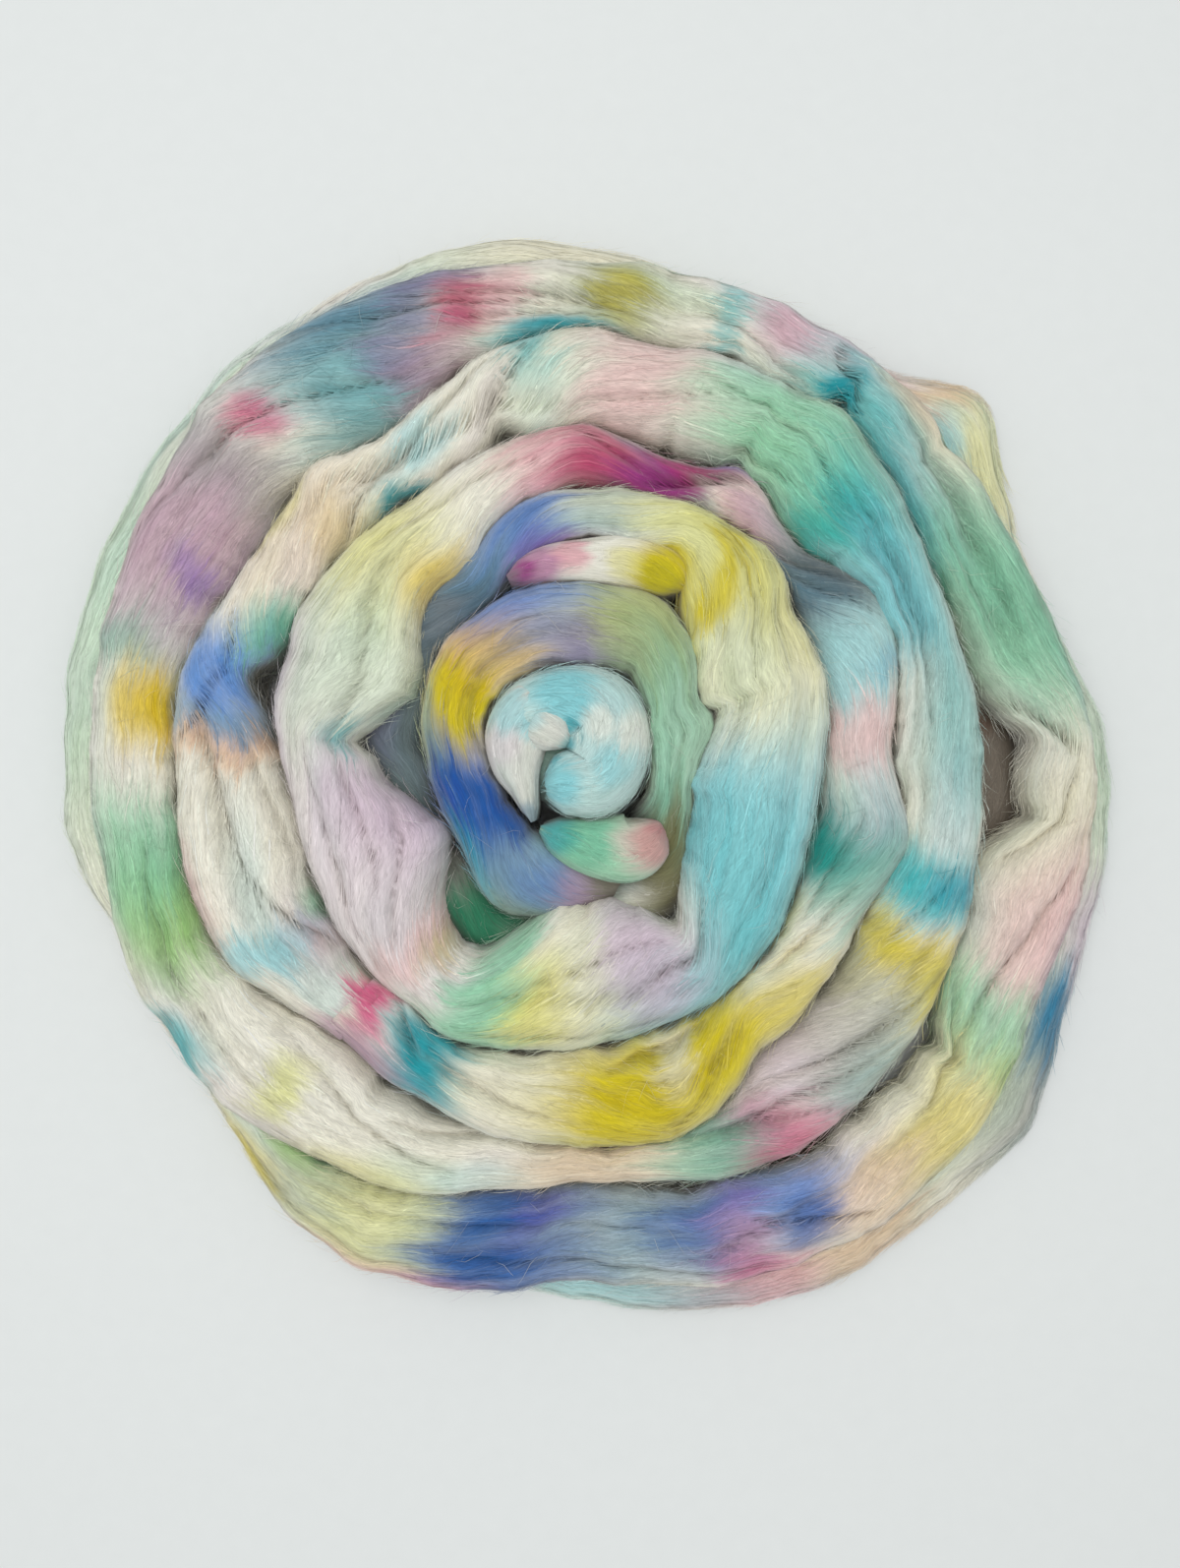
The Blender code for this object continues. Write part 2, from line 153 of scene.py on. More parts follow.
# Creases along the strand. across runs from -1 at the inner edge to 1 at the outer edge.
Crease = namedtuple("Crease", "start end acrossStart acrossEnd depth width")
creases = [Crease(*row) for row in (
    # broad troughs, as in the solid
    (9.3, 12.6, -0.75, 0.1, 5.2, 9), (25.2, 28.5, 0.75, 0.35, 3.8, 10),
    (24.8, 27.2, -0.35, -0.75, 4.5, 9), (29, 31.2, 0.45, 0.1, 5.2, 10),
    (32, 35, 0.55, 0.75, 4.5, 10), (33.2, 35.2, -0.6, 0.15, 6, 11),
    (40.5, 43, 0.25, -0.35, 5.2, 10), (43.6, 45.3, -0.1, 0.3, 9, 10),
    (46.2, 47.9, 0.5, -0.55, 6.8, 9), (48.8, 51.2, -0.45, 0.15, 5.2, 9),
    (51.6, 53.4, 0.55, -0.2, 5.2, 10), (54.6, 56.4, 0.35, -0.25, 5.2, 10),
    (57.4, 59.6, 0.1, 0.55, 5.2, 11), (59.4, 61.3, -0.5, 0.35, 6, 10),
    (61.2, 62.6, 0.6, -0.45, 6.8, 9), (63.6, 65.2, 0.4, -0.3, 5.2, 11),
    (65.4, 67.4, -0.15, 0.45, 5.2, 10),
    # narrow folds between locks
    (10, 11.6, 0.35, 0.25, 3.4, 3), (13.2, 15.6, 0.05, 0.15, 3.4, 3),
    (14, 16.2, -0.3, -0.1, 3.4, 3), (25, 26, 0.75, 0.1, 4.2, 3.5),
    (25.1, 26.4, 0.5, -0.25, 3.4, 3.5), (27.2, 28.9, 0.55, 0.3, 2.7, 3.5),
    (28.6, 29.7, -0.6, 0.4, 7.6, 4.5), (29.2, 31, -0.5, 0.25, 4.2, 4),
    (29.4, 30.9, 0.8, 0.7, 3.4, 3.5), (31.5, 32.7, 0.2, -0.8, 4.2, 4),
    (31.9, 33.2, 0.15, -0.45, 4.2, 4), (31.4, 33, 0.75, 0.35, 4.2, 4),
    (33.1, 34.6, -0.5, 0.15, 4.5, 4), (34.5, 35.7, 0.6, 0.1, 3.4, 4),
    (35.9, 36.5, 0.8, -0.4, 4.2, 3.5), (36.35, 37.05, -0.7, 0.75, 8.5, 4.5),
    (37.2, 37.9, -0.8, 0.9, 5.1, 3.5), (37.4, 38.1, -0.9, 0.6, 4.2, 3),
    (39.3, 40.3, -0.1, -0.6, 4.2, 3.5), (39.8, 40.7, 0.4, -0.7, 5.1, 4),
    (41, 41.6, -0.3, 0.85, 4.2, 4), (41.2, 41.9, -0.8, -0.6, 8.5, 5), (42, 43, 0.5, -0.5, 4.2, 4),
    (43, 43.35, -0.1, -0.95, 8.5, 4), (43.7, 44.4, -0.9, -0.1, 6.8, 4.5),
    (44.1, 45.3, -0.15, 0.35, 7.6, 4), (44.3, 45.2, -0.85, -0.5, 4.2, 4),
    (45.05, 45.5, 0.9, -0.4, 3.5, 4), (45.4, 45.85, -0.6, 0.7, 3.5, 4),
    (46.3, 46.9, -0.95, 0.1, 6.8, 4), (46.5, 47.6, -0.2, 0.75, 7.6, 4),
    (47.35, 47.75, -0.9, 0.9, 9.3, 4.5), (47.8, 48.8, -0.8, 0.2, 3.4, 4),
    (48.7, 49.3, -0.95, -0.45, 6.8, 4.5), (48.5, 49.6, 0.35, -0.15, 4.2, 3.5),
    (49.3, 51, 0.2, -0.35, 5.1, 3.5), (49.7, 50.9, -0.2, -0.7, 5.1, 4),
    (50.8, 51.5, -0.45, -0.6, 4.2, 3.5), (51.5, 52.1, 0.4, -0.6, 3.4, 4),
    (52, 53.2, 0.85, -0.8, 7.6, 4.5), (52.3, 53.4, 0.75, -0.5, 5.1, 3.5),
    (52.8, 53.6, 0.6, -0.9, 6, 4), (54.4, 55, -0.8, -0.45, 6.8, 5),
    (54.6, 55.7, 0.25, -0.75, 5.1, 4.5), (55.3, 56.7, 0.4, -0.3, 4.2, 4.5),
    (57.8, 58.9, 0.9, -0.2, 4.2, 4), (58.1, 59.3, 0.6, -0.7, 6, 4), (58.8, 59.9, 0.9, -0.3, 6, 4),
    (59.2, 60.3, 0.7, -0.6, 5.1, 4), (59.4, 60.2, -0.1, -0.7, 4.2, 3.5),
    (60.4, 61, 0.2, -0.85, 4.2, 4), (61.02, 61.28, 0.6, -0.95, 11, 5),
    (61.3, 62.6, 0.35, -0.1, 5.1, 4), (61.6, 62.6, -0.5, -0.2, 4.2, 4),
    (62.7, 62.98, -0.95, 0.35, 11, 5.5), (63, 63.5, 0.3, -0.8, 6.8, 4.5),
    (63.4, 64.4, 0.6, -0.7, 6, 4.5), (64, 64.6, -0.85, -0.3, 7.6, 4.5),
    (64.9, 65.35, 0.5, -0.3, 7.6, 4.5), (65, 65.7, -0.4, 0.35, 5.1, 4),
    (65.3, 66.6, 0.7, 0.2, 5.1, 4), (65.6, 67.2, -0.3, -0.5, 4.2, 4),
    (66.3, 67.5, 0.55, 0.6, 4.2, 4),
)]

# How the combed fibres lean: hour, and strand halves crossed in one hour towards the outer edge
leans = (
    (5.5, -0.4), (6.2, -0.6), (7.5, -0.5), (8.5, 0), (9.5, 0.1), (11, -0.05), (12.5, -0.2),
    (13.5, 0), (16, 0), (17, -0.7), (19.5, -0.5), (20.5, 0.6), (21.3, 0.3), (22, -0.6), (22.8, -1),
    (23.1, 1.2), (23.6, 0.8), (24.1, -0.2), (24.4, 0.8), (24.9, 0.9), (25.2, -0.8), (26, -0.3),
    (27, 0), (28.5, 0.05), (29.1, 1), (29.7, 0.7), (30.6, 0.7), (31.1, 0.2), (31.4, -0.6),
    (33.1, -0.6), (34.3, 0), (35, 0.4), (35.8, 0.7), (36.2, -0.8), (36.8, -0.9), (37.1, 1.5),
    (37.7, 2.4), (38.2, 0.9), (38.8, 0.2), (39.5, 0), (40, -1.2), (40.8, -1.2), (41, 1.4),
    (41.4, 1.4), (41.7, -1.1), (42.2, -0.4), (43.6, -0.2), (44.8, -0.2), (45.1, -1), (45.3, 2.4),
    (45.7, 2.4), (45.9, 0.5), (46.4, 1.3), (47, 1.8), (47.7, 2.4), (48, 0.8), (48.6, 0.2),
    (49.5, 0), (50.3, -0.7), (51, -0.3), (51.7, 0), (52, -1.3), (53.2, -1.3), (53.6, -0.6),
    (54.2, 0.2), (55, 0), (56, -0.4), (57, 0), (58.2, -0.3), (58.5, -1.1), (60, -1), (60.5, -0.3),
    (61.3, 0.4), (62.3, -0.2), (62.75, 1), (63, -1), (63.4, 0.2), (64.3, -0.6), (65, 0.6),
    (65.3, -0.5), (65.7, 0.4), (67.5, 0.5), (68.5, -0.3), (72, -0.3), (78.5, 0),
)
leanHour, leanSlope = zip(*leans)

# Where dye was laid on the strand: along is half its length in mm, wide half its width in
# strand halves. Later rows lie over earlier ones.
Dye = namedtuple("Dye", "hour across along wide colour strength")
dyeing = [Dye(*row) for row in (
    # first turn
    (6.3, -0.6, 31, 1.08, "mint", 0.8), (6.4, 0.3, 20, 0.74, "greyLilac", 0.9),
    (7, 0.6, 18, 0.9, "slateBlue", 0.8), (8.3, 0, 24, 1.3, "deepBlue", 1),
    (7.7, -0.6, 15, 0.62, "deepBlue", 0.95), (6.9, 0.75, 14, 0.5, "sage", 0.6),
    (6.7, -0.2, 12, 0.7, "periwinkle", 0.5), (6.1, 0.1, 9, 0.7, "mauve", 0.6),
    (8.7, 0.5, 18, 0.74, "deepBlue", 1), (7.7, 0.65, 13, 0.45, "turquoise", 0.5),
    (9.5, 0.7, 15, 0.62, "sage", 0.9), (9.4, -0.3, 9, 0.74, "taupe", 0.67),
    (10.4, 0.2, 24, 1, "orangeYellow", 0.5), (9.9, -0.1, 13, 0.62, "lemon", 1),
    (10.7, 0.5, 21, 0.45, "apricot", 0.78), (11.3, 0, 24, 0.8, "greyLilac", 0.5),
    (11.4, 0.85, 21, 0.45, "periwinkle", 0.78), (11.9, 0.5, 15, 0.57, "butter", 0.56),
    # the charcoal at the inner edge near hour 11.4 is painted shadow on the turn's inner flank
    (12, -0.4, 25, 0.51, "greyLilac", 0.84), (11.4, -0.95, 37, 0.39, "charcoal", 0.9),
    (12.6, 0.4, 19, 0.74, "olive", 0.56), (12.6, 0.4, 15, 0.74, "butter", 0.56),
    (13, -0.4, 13, 0.74, "sage", 0.78), (14.7, 0, 50, 1.4, "seaGreen", 0.4),
    (14.5, -0.3, 35, 0.74, "paleMint", 0.6), (16.1, 0.1, 15, 0.85, "seaGreen", 0.6),
    # the olive brown at hours 16.7 and 16.95 is painted shade on undyed wool that lies low under the next
    # turn
    (16.7, 0.4, 17, 0.74, "oliveBrown", 0.9), (17.7, -0.8, 15, 0.62, "mint", 0.9),
    (9.875, -0.2, 9, 0.9, "lemon", 0.95), (10.5, -0.27, 15, 0.6, "orangeYellow", 0.5),
    (11.3, 0.6, 24, 0.55, "periwinkle", 0.8), (12.7, -0.03, 17, 0.9, "sage", 0.7),
    (14, 0.34, 24, 1.4, "seaGreen", 0.35), (16.95, -0.05, 15, 1.04, "oliveBrown", 0.8),
    (5.7, 0.04, 7, 1.2, "oliveBrown", 0.8), (5.5, 0, 7, 1.4, "taupe", 0.85),
    # second turn
    (18.6, 0.5, 20, 0.74, "mint", 0.9), (18.2, -0.7, 26, 0.62, "periwinkle", 0.9),
    (19.2, 0.2, 20, 1.08, "forest", 1), (19.9, -0.4, 20, 0.85, "taupe", 0.9),
    # the slate and charcoal from hour 20.8 to 22.4 are painted shade on this low stretch of the turn
    (20.8, -0.2, 39, 1.4, "slate", 0.8), (21.7, -0.4, 26, 1, "charcoal", 0.4),
    (22.5, -0.2, 23, 1.4, "greyLilac", 0.67), (22.4, -0.2, 29, 1.4, "slate", 0.56),
    (23, -0.4, 15, 0.97, "slateBlue", 0.9), (23.5, 0.2, 19, 0.97, "cornflower", 0.85),
    (23.55, -0.75, 18, 0.45, "greyLilac", 0.7), (23.9, -0.9, 13, 0.39, "mauve", 0.78),
    (24.1, 0, 16, 1.1, "slateBlue", 0.3), (24.2, 0.5, 18, 0.74, "sage", 0.45),
    (24.8, 0.1, 21, 1.2, "paleYellow", 1), (24.95, -0.7, 15, 0.51, "lemon", 1),
    (25.3, 0.2, 13, 0.51, "lemon", 0.5), (25.3, 0.5, 29, 0.39, "butter", 0.67),
    (25.7, -0.2, 37, 1.2, "paleYellow", 0.5), (25.5, -0.8, 8, 0.28, "lemon", 0.78),
    (28, 0, 45, 1.4, "cyan", 0.9), (27.9, -0.2, 26, 1.08, "turquoise", 0.25),
    (28.3, 0.9, 35, 0.39, "seaGreen", 0.45), (29.5, 0.85, 35, 0.39, "paleCyan", 0.9),
    (28.85, -0.75, 15, 0.51, "undyed", 1), (29.3, 0, 21, 0.74, "lilac", 0.78),
    (30.3, 0.35, 26, 0.51, "paleYellow", 0.78), (30.8, 0, 12, 1.08, "mint", 0.84),
    (25.06, 0.47, 5, 0.29, "lemon", 0.6), (25.18, 0.12, 5, 0.27, "lemon", 0.7),
    (25.33, -0.24, 6, 0.3, "lemon", 0.85), (28.15, -0.13, 34, 1, "cyan", 0.35),
    (28.35, 0.3, 15, 0.5, "paleCyan", 0.45), (28.3, -0.47, 24, 0.69, "turquoise", 0.25),
    (29.1, 0.42, 35, 0.56, "turquoise", 0.55), (29.5, -0.21, 17, 0.85, "lilac", 0.8),
    (30.1, 0, 12, 0.99, "cream", 0.8), (30.4, 0.16, 12, 0.46, "butter", 0.7),
    (30.8, -0.09, 13, 1.18, "mint", 0.8), (19.15, 0.18, 18, 0.96, "forest", 0.95),
    # the slate at hour 21.7 is painted shade on this low stretch of the turn
    (21.7, -0.17, 63, 1.4, "slate", 0.7), (21.2, 0.3, 18, 0.4, "greyLilac", 0.5),
    (20.3, 0.1, 16, 0.35, "paleCyan", 0.4), (21.9, 0.4, 20, 0.4, "slateBlue", 0.5),
    (23.56, 0.1, 13, 0.5, "royalBlue", 0.55), (23.6, -0.7, 13, 0.53, "violet", 0.75),
    # third turn
    (32.2, 0, 55, 1.2, "paleLilac", 0.85), (32.6, -0.4, 31, 0.62, "lilac", 0.9),
    (31.4, -0.3, 8, 1.08, "palePink", 0.78), (33.15, -0.35, 8, 0.26, "teal", 0.78),
    (33.7, 0, 37, 1.2, "paleMint", 0.39), (33.4, 0.85, 29, 0.39, "lilac", 0.67),
    (34.5, 0.2, 26, 0.9, "paleYellow", 0.6), (34.6, 0.6, 20, 0.51, "butter", 0.45),
    (34.65, -0.6, 17, 0.45, "amber", 0.67), (35.72, 0.1, 20, 1.1, "rose", 0.55),
    (36.085, -0.23, 19, 1.22, "magenta", 0.9), (36.5, -0.2, 17, 0.9, "plum", 0.9),
    (36.75, 0.5, 13, 0.5, "plum", 0.8), (36.6, 0.25, 10, 0.6, "magenta", 0.6),
    (36.4, -0.35, 17, 0.75, "fuchsia", 0.8), (36.85, 0.75, 9, 0.3, "violet", 0.7),
    (37, -0.4, 10, 0.9, "palePink", 0.8), (37.2, -0.31, 15, 1.27, "mauve", 0.7),
    # the slate and charcoal near hour 37.7 are painted shade where the turn lies low between its
    # neighbours
    (37.7, -0.08, 24, 1.35, "slate", 0.97), (37.75, 0.35, 15, 0.4, "charcoal", 0.45),
    (37.95, -0.5, 27, 0.74, "slateBlue", 0.5), (38.405, 0.43, 5, 0.35, "deepBlue", 0.6),
    (38.35, -0.2, 19, 1.05, "paleCyan", 0.8), (38.8, -0.13, 14, 1.19, "palePink", 0.85),
    (39, -0.92, 14, 0.3, "brown", 0.4), (39.6, -0.15, 26, 1, "teal", 0.6),
    (39.85, 0.2, 20, 0.8, "seaGreen", 0.5), (39.62, -0.4, 14, 0.45, "deepTeal", 0.95),
    (40.275, -1, 17, 0.49, "olive", 0.8), (40.65, 0.38, 19, 0.73, "lemon", 0.7),
    (41.175, -0.22, 23, 0.96, "lemon", 0.9), (41.75, 0.1, 40, 1, "lemon", 1),
    (41.465, -0.45, 9, 0.55, "cream", 0.8), (42.55, -0.22, 31, 1.25, "cream", 0.6),
    (42.98, -0.2, 17, 1.2, "teal", 1), (43.42, -0.35, 9, 0.55, "rose", 0.95),
    (43.3, 0.55, 18, 0.53, "mauve", 0.9), (31.3, -0.38, 6, 0.49, "olive", 0.5),
    # fourth turn
    (44, -0.2, 8, 0.74, "paleCyan", 0.67), (44.35, 0.85, 20, 0.39, "palePink", 0.9),
    (46.3, 0.2, 31, 0.97, "peach", 0.34), (46.3, 0.8, 13, 0.34, "butter", 0.67),
    (54.8, -0.85, 37, 0.34, "taupe", 0.45), (54.97, 0.58, 26, 0.35, "butter", 0.55),
    (55.45, 0.1, 9, 0.4, "paleYellow", 0.95), (48.25, -0.18, 25, 1.19, "palePink", 0.9),
    (48.55, -0.83, 25, 0.46, "undyed", 0.8), (49.15, -0.1, 44, 1.1, "mint", 0.95),
    (49.485, -0.51, 13, 0.58, "seaGreen", 0.9), (49.9, -0.15, 47, 1.35, "turquoise", 0.7),
    (49.95, -0.05, 33, 0.21, "teal", 0.6), (50.15, -0.48, 33, 0.84, "cyan", 0.8),
    (50.6, -0.68, 19, 0.67, "undyed", 0.8), (50.85, 0.35, 32, 0.72, "turquoise", 0.6),
    (51.64, -0.1, 15, 1.21, "turquoise", 0.9), (51.61, 0.33, 9, 0.37, "oceanBlue", 0.4),
    (52.1, 0.34, 15, 0.89, "lemon", 0.85), (52, -0.4, 11, 0.5, "lemon", 0.6),
    (52.35, -0.78, 15, 0.59, "olive", 0.8), (52.75, -0.35, 36, 0.95, "lilac", 0.75),
    (52.5, 0.1, 26, 0.9, "sage", 0.4), (53.2, 0.3, 17, 0.6, "magenta", 0.75),
    (53.3, -0.2, 20, 0.5, "mauve", 0.7), (53, 0.55, 17, 0.45, "rose", 0.6),
    (52.6, 0.54, 20, 0.46, "teal", 0.35), (53.5, -0.2, 21, 1.4, "seaGreen", 0.75),
    (54, -0.14, 32, 1.31, "cream", 0.7), (54, 0, 26, 1.2, "peach", 0.5),
    (45.08, -0.15, 8, 1.19, "peach", 0.9), (45.45, -0.06, 22, 1, "cornflower", 0.95),
    (45.2, -0.1, 6, 1.2, "slateBlue", 0.55), (45.76, -0.79, 15, 0.74, "seaGreen", 0.9),
    (45.45, -1.02, 13, 0.3, "oliveBrown", 0.95), (46.425, -0.47, 13, 0.61, "orangeYellow", 0.4),
    (46.81, -0.6, 8, 0.4, "teal", 0.9), (47.05, 0.1, 12, 0.4, "paleCyan", 0.7),
    (47.5, -0.82, 8, 0.43, "taupe", 0.6), (47.71, 0.5, 10, 0.5, "turquoise", 0.75),
    (43.9, -0.68, 19, 0.64, "mauve", 0.6), (44.01, 0.29, 9, 0.44, "paleCyan", 0.8),
    (44.125, -0.85, 8, 0.33, "mint", 0.8),
    # fifth turn
    (60.1, 0, 25, 1.2, "sage", 0.45), (60.115, 0.01, 14, 0.5, "olive", 0.75),
    (60.1, 0, 9, 0.35, "lemon", 0.35), (59.825, -0.65, 23, 0.38, "teal", 0.95),
    (60.325, 0.88, 15, 0.25, "seaGreen", 0.8), (60.56, -0.31, 5, 1.28, "turquoise", 0.6),
    (60.825, 0.24, 18, 0.65, "lilac", 0.7), (60.8, 0.2, 12, 0.4, "pink", 0.45),
    (61.075, 0.61, 15, 0.42, "lilac", 0.7), (61.3, -0.47, 36, 0.91, "turquoise", 0.85),
    (61.16, -0.55, 8, 0.85, "teal", 0.95), (61.825, -0.85, 32, 0.43, "teal", 0.85),
    (61.45, 0.73, 19, 0.42, "peach", 0.7), (61.615, 0.87, 8, 0.31, "mint", 0.8),
    (61.7, 0.7, 22, 0.5, "cream", 0.8), (61.85, -0.5, 24, 0.6, "turquoise", 0.6),
    (62.35, 0.12, 50, 1.2, "mint", 0.8), (62.3, 0.4, 47, 0.9, "seaGreen", 0.5),
    (62.125, -0.76, 9, 0.27, "forest", 0.8), (63.3, -0.12, 37, 1.18, "cream", 0.9),
    (63.75, 0.56, 43, 0.97, "palePink", 0.9), (63.85, 0.92, 31, 0.43, "lilac", 0.6),
    (64.14, -0.09, 18, 1.27, "mint", 0.8), (64.3, -1, 11, 0.42, "forest", 0.8),
    (64.29, 0.75, 12, 0.42, "leaf", 0.75), (64.54, -0.15, 30, 1.2, "butter", 0.65),
    (64.55, 0.22, 18, 0.5, "amber", 0.25), (64.91, -0.07, 26, 1.11, "peach", 0.55),
    (64.7, -0.73, 39, 0.41, "undyed", 0.9), (65.15, 0, 14, 0.41, "deepBlue", 0.9),
    (65.25, -0.52, 33, 0.51, "periwinkle", 0.85), (65.435, -0.14, 15, 0.95, "violet", 0.7),
    (65.425, 0.15, 12, 0.5, "mauve", 0.7), (65.36, 0.66, 19, 0.44, "rose", 0.6),
    (65.65, -0.29, 20, 0.62, "royalBlue", 0.85), (65.95, -0.08, 21, 1.11, "slateBlue", 0.6),
    (66.38, -0.04, 37, 1.34, "royalBlue", 1), (66.25, -0.4, 12, 0.4, "violet", 0.3),
    (66.7, 0.68, 27, 0.33, "pink", 0.7), (66.89, -0.25, 26, 1.23, "paleYellow", 0.8),
    (66.85, 0.75, 24, 0.35, "palePink", 0.7), (67.2, -0.3, 22, 0.9, "sage", 0.55),
    (67.35, -0.75, 20, 0.5, "leaf", 0.7), (67.2, -1.04, 14, 0.37, "forest", 0.8),
    (67.4, 0.6, 20, 0.5, "lemon", 0.75), (55.845, 0.57, 15, 0.39, "turquoise", 0.95),
    (56.37, -0.29, 29, 0.85, "leaf", 0.85), (56.65, -0.5, 20, 0.6, "seaGreen", 0.5),
    (56.61, 0.26, 26, 0.91, "mint", 0.7), (57.26, -0.3, 19, 0.42, "amber", 1),
    (57.49, 0.36, 9, 0.54, "seaGreen", 0.7), (57.95, -0.06, 44, 1.12, "mauve", 0.85),
    (57.85, -0.36, 8, 0.34, "violet", 0.6), (58.31, -0.03, 14, 1.03, "slate", 0.35),
    (58.53, 0.15, 9, 0.28, "rose", 0.8), (58.95, -0.13, 32, 0.88, "teal", 0.75),
    (59.06, 0.68, 43, 0.45, "slateBlue", 0.9), (59.36, 0.61, 20, 0.35, "greyLilac", 0.8),
    (59.2, -0.05, 16, 0.5, "greyLilac", 0.75), (59.47, 0.05, 13, 0.4, "magenta", 0.9),
    (59.65, 0.1, 9, 0.4, "pink", 0.6), (59.3, -0.6, 24, 0.5, "mauve", 0.7),
    # sixth turn
    (69.5, 0.5, 97, 1.4, "paleMint", 0.6), (72, 0.5, 56, 1.4, "cream", 0.9),
    (73.2, 0, 15, 1.2, "palePink", 0.8), (73.47, 0.5, 12, 0.6, "peach", 0.8),
    (73.8, 0.2, 30, 1, "paleYellow", 0.75), (73.55, -0.4, 12, 0.5, "paleCyan", 0.8),
    (74.8, 0.4, 50, 1.4, "paleMint", 0.5), (75.635, 0.66, 25, 0.45, "lilac", 0.9),
    (75.975, 0.5, 20, 0.59, "oceanBlue", 1), (76.275, 0.63, 32, 0.68, "slate", 0.5),
    (77, 0.26, 29, 0.9, "peach", 0.75), (77.36, 0.27, 20, 0.9, "pink", 0.65),
    (77.675, 0.28, 25, 0.87, "greyLilac", 0.5), (78.05, 0.13, 36, 1.1, "paleCyan", 0.8),
)]

# How dye and light lie in combed wool. Sizes are in mm.
dyeSpread = {
    "ragged": ((2.6, 1.5, 80, 21), (6.0, 7, 50, 22)),  # reach, streak width and length, noise layer
    "creamShare": 0.5,
    "washed": (("paleMint", 31), ("paleLilac", 32), ("paleCyan", 33)),  # tints in undyed wool
    "washedShare": 0.32,
    "wander": 0.10,  # strand halves that a patch strays across
    "patchFade": (0.3, 1.6),  # where a patch starts to fade and ends, in its own half sizes
    "spotFade": (0.55, 1.45),
    "vivid": 0.18,  # how far colours are drawn from grey
    "streaky": 0.04,
}
# How much sky each part of the strand sees past its neighbours, painted into the wool's colour as shade
# in creases and folds
skyShade = {
    "rings": ((18, 4), (40, 6), (62, 6)),  # degrees from upright, and rays in that ring
    "sight": 70.0,  # mm
    "start": 1.8,  # mm off the surface
    "clear": 0.15,  # only rays that rise this steeply off the surface count
    "rowStep": 3,
    "columnStep": 2,
    "open": 0.58,  # with this share of the sky in view, wool is fully lit
    "grooveShade": 0.55,
    # painted shade: what a deep crease leaves of the wool's colour, little light, and that warmed by the
    # wool
    "creaseShadeColour": np.array([0.31, 0.27, 0.20]),
}

# Folds of the strand that lie on the turns. A stop is x, y, width and top, and a spot of dye is
# x, y, radius, colour and strength. x and y are from the winding's centre.
folds = {
    "knob": {
        "stops": (
            (-33, 6, 14, 67), (-27, 15, 24, 73), (-14, 21, 29, 76), (2, 18, 34.5, 77.5),
            (6, 6, 36, 77.5), (2, -5, 33, 77), (-8, -8, 28, 75), (-17, -10, 20, 71.5),
        ),
        "base": ("paleCyan", 0.6),
        "spots": (
            (-9, 25, 12, "cyan", 0.95), (4, 14, 7, "undyed", 0.6), (20, 12, 8, "undyed", 0.7),
            (8, -2, 7, "cyan", 0.6), (-12, -9, 9, "cyan", 0.95), (-8, 13, 3, "teal", 0.7),
            (-9, 6, 3, "teal", 0.7), (-15, 1, 3, "teal", 0.6),
        ),
    },
    "knobCore": {
        "stops": ((-34, 6, 32, 60), (-16, 8, 52, 66), (4, 8, 56, 68), (23, 6, 42, 65)),
        "base": ("paleCyan", 0.8),
        "spots": ((-8, 6, 6, "turquoise", 0.5),),
    },
    "knobEnd": {
        "stops": (
            (-22, -23, 5, 66), (-25, -12, 11, 70.5), (-28, -1, 20, 73), (-28, 9, 25, 74.5),
            (-24, 19, 22, 75), (-17, 25, 14, 74.5),
        ),
        "base": ("shadeWhite", 0.6),
        "spots": (
            (-30, 20, 10, "paleCyan", 0.7), (-34, 6, 7, "paleLilac", 0.5),
            (-21, 12, 6, "paleCyan", 0.7), (-23, -21, 5, "slateBlue", 0.6),
        ),
    },
    "knobCurl": {
        "stops": ((-25, 17, 14, 73), (-19, 14, 18, 76), (-13, 11, 17, 77), (-8, 7, 12, 76)),
        "base": ("shadeWhite", 0.6),
        "spots": ((-24, 18, 7, "paleCyan", 0.6), (-7, 5, 4, "turquoise", 0.6)),
    },
    "tuckUnderKnob": {
        "stops": (
            (-19, -26, 9, 64), (-8, -30, 19, 67), (5, -33, 25, 69), (17, -33, 26, 69), (28, -25, 13, 65),
        ),
        "base": ("mint", 0.85),
        "spots": (
            (-13, -28, 8, "teal", 0.7), (-1, -31, 10, "seaGreen", 0.5), (21, -32, 12, "palePink", 0.6),
            (25, -32, 9, "dustyPink", 0.7), (29, -24, 6, "dustyPink", 0.8), (19, -19, 4, "brown", 0.7),
        ),
    },
    "tuckInsideSecondTurn": {
        "stops": (
            (-32, 72, 9, 57), (-20, 76, 15, 61), (0, 78, 18, 64), (20, 77, 22, 65), (31, 72, 19, 66),
            (38, 67, 10, 64),
        ),
        "base": ("undyed", 0.9),
        "spots": (
            (-29, 73, 7, "plum", 0.8), (-20, 76, 9, "fuchsia", 0.7), (-7, 80, 7, "pink", 0.7),
            (20, 78, 8, "cream", 0.8), (29, 71, 13, "lemon", 0.95), (13, 76, 7, "butter", 0.5),
            (27, 69, 9, "olive", 0.4),
        ),
    },
    # painted shade: dark taupe wool laid low down under the two gaps between turns, to darken them as
    # shadow would
    "shadowWebAtRight": {
        "stops": ((160, 34, 26, 7), (168, 8, 34, 9), (172, -14, 36, 9), (168, -42, 28, 7)),
        "base": ("taupe", 1),
        "spots": ((168, 20, 8, "brown", 0.5),),
    },
    "shadowWebAtLowerRight": {
        "stops": ((36, -176, 20, 7), (66, -172, 28, 9), (96, -158, 28, 9), (120, -138, 22, 7)),
        "base": ("taupe", 1),
        "spots": ((90, -160, 10, "brown", 0.4),),
    },
}

noiseTable = np.random.default_rng(41).random((256, 256))


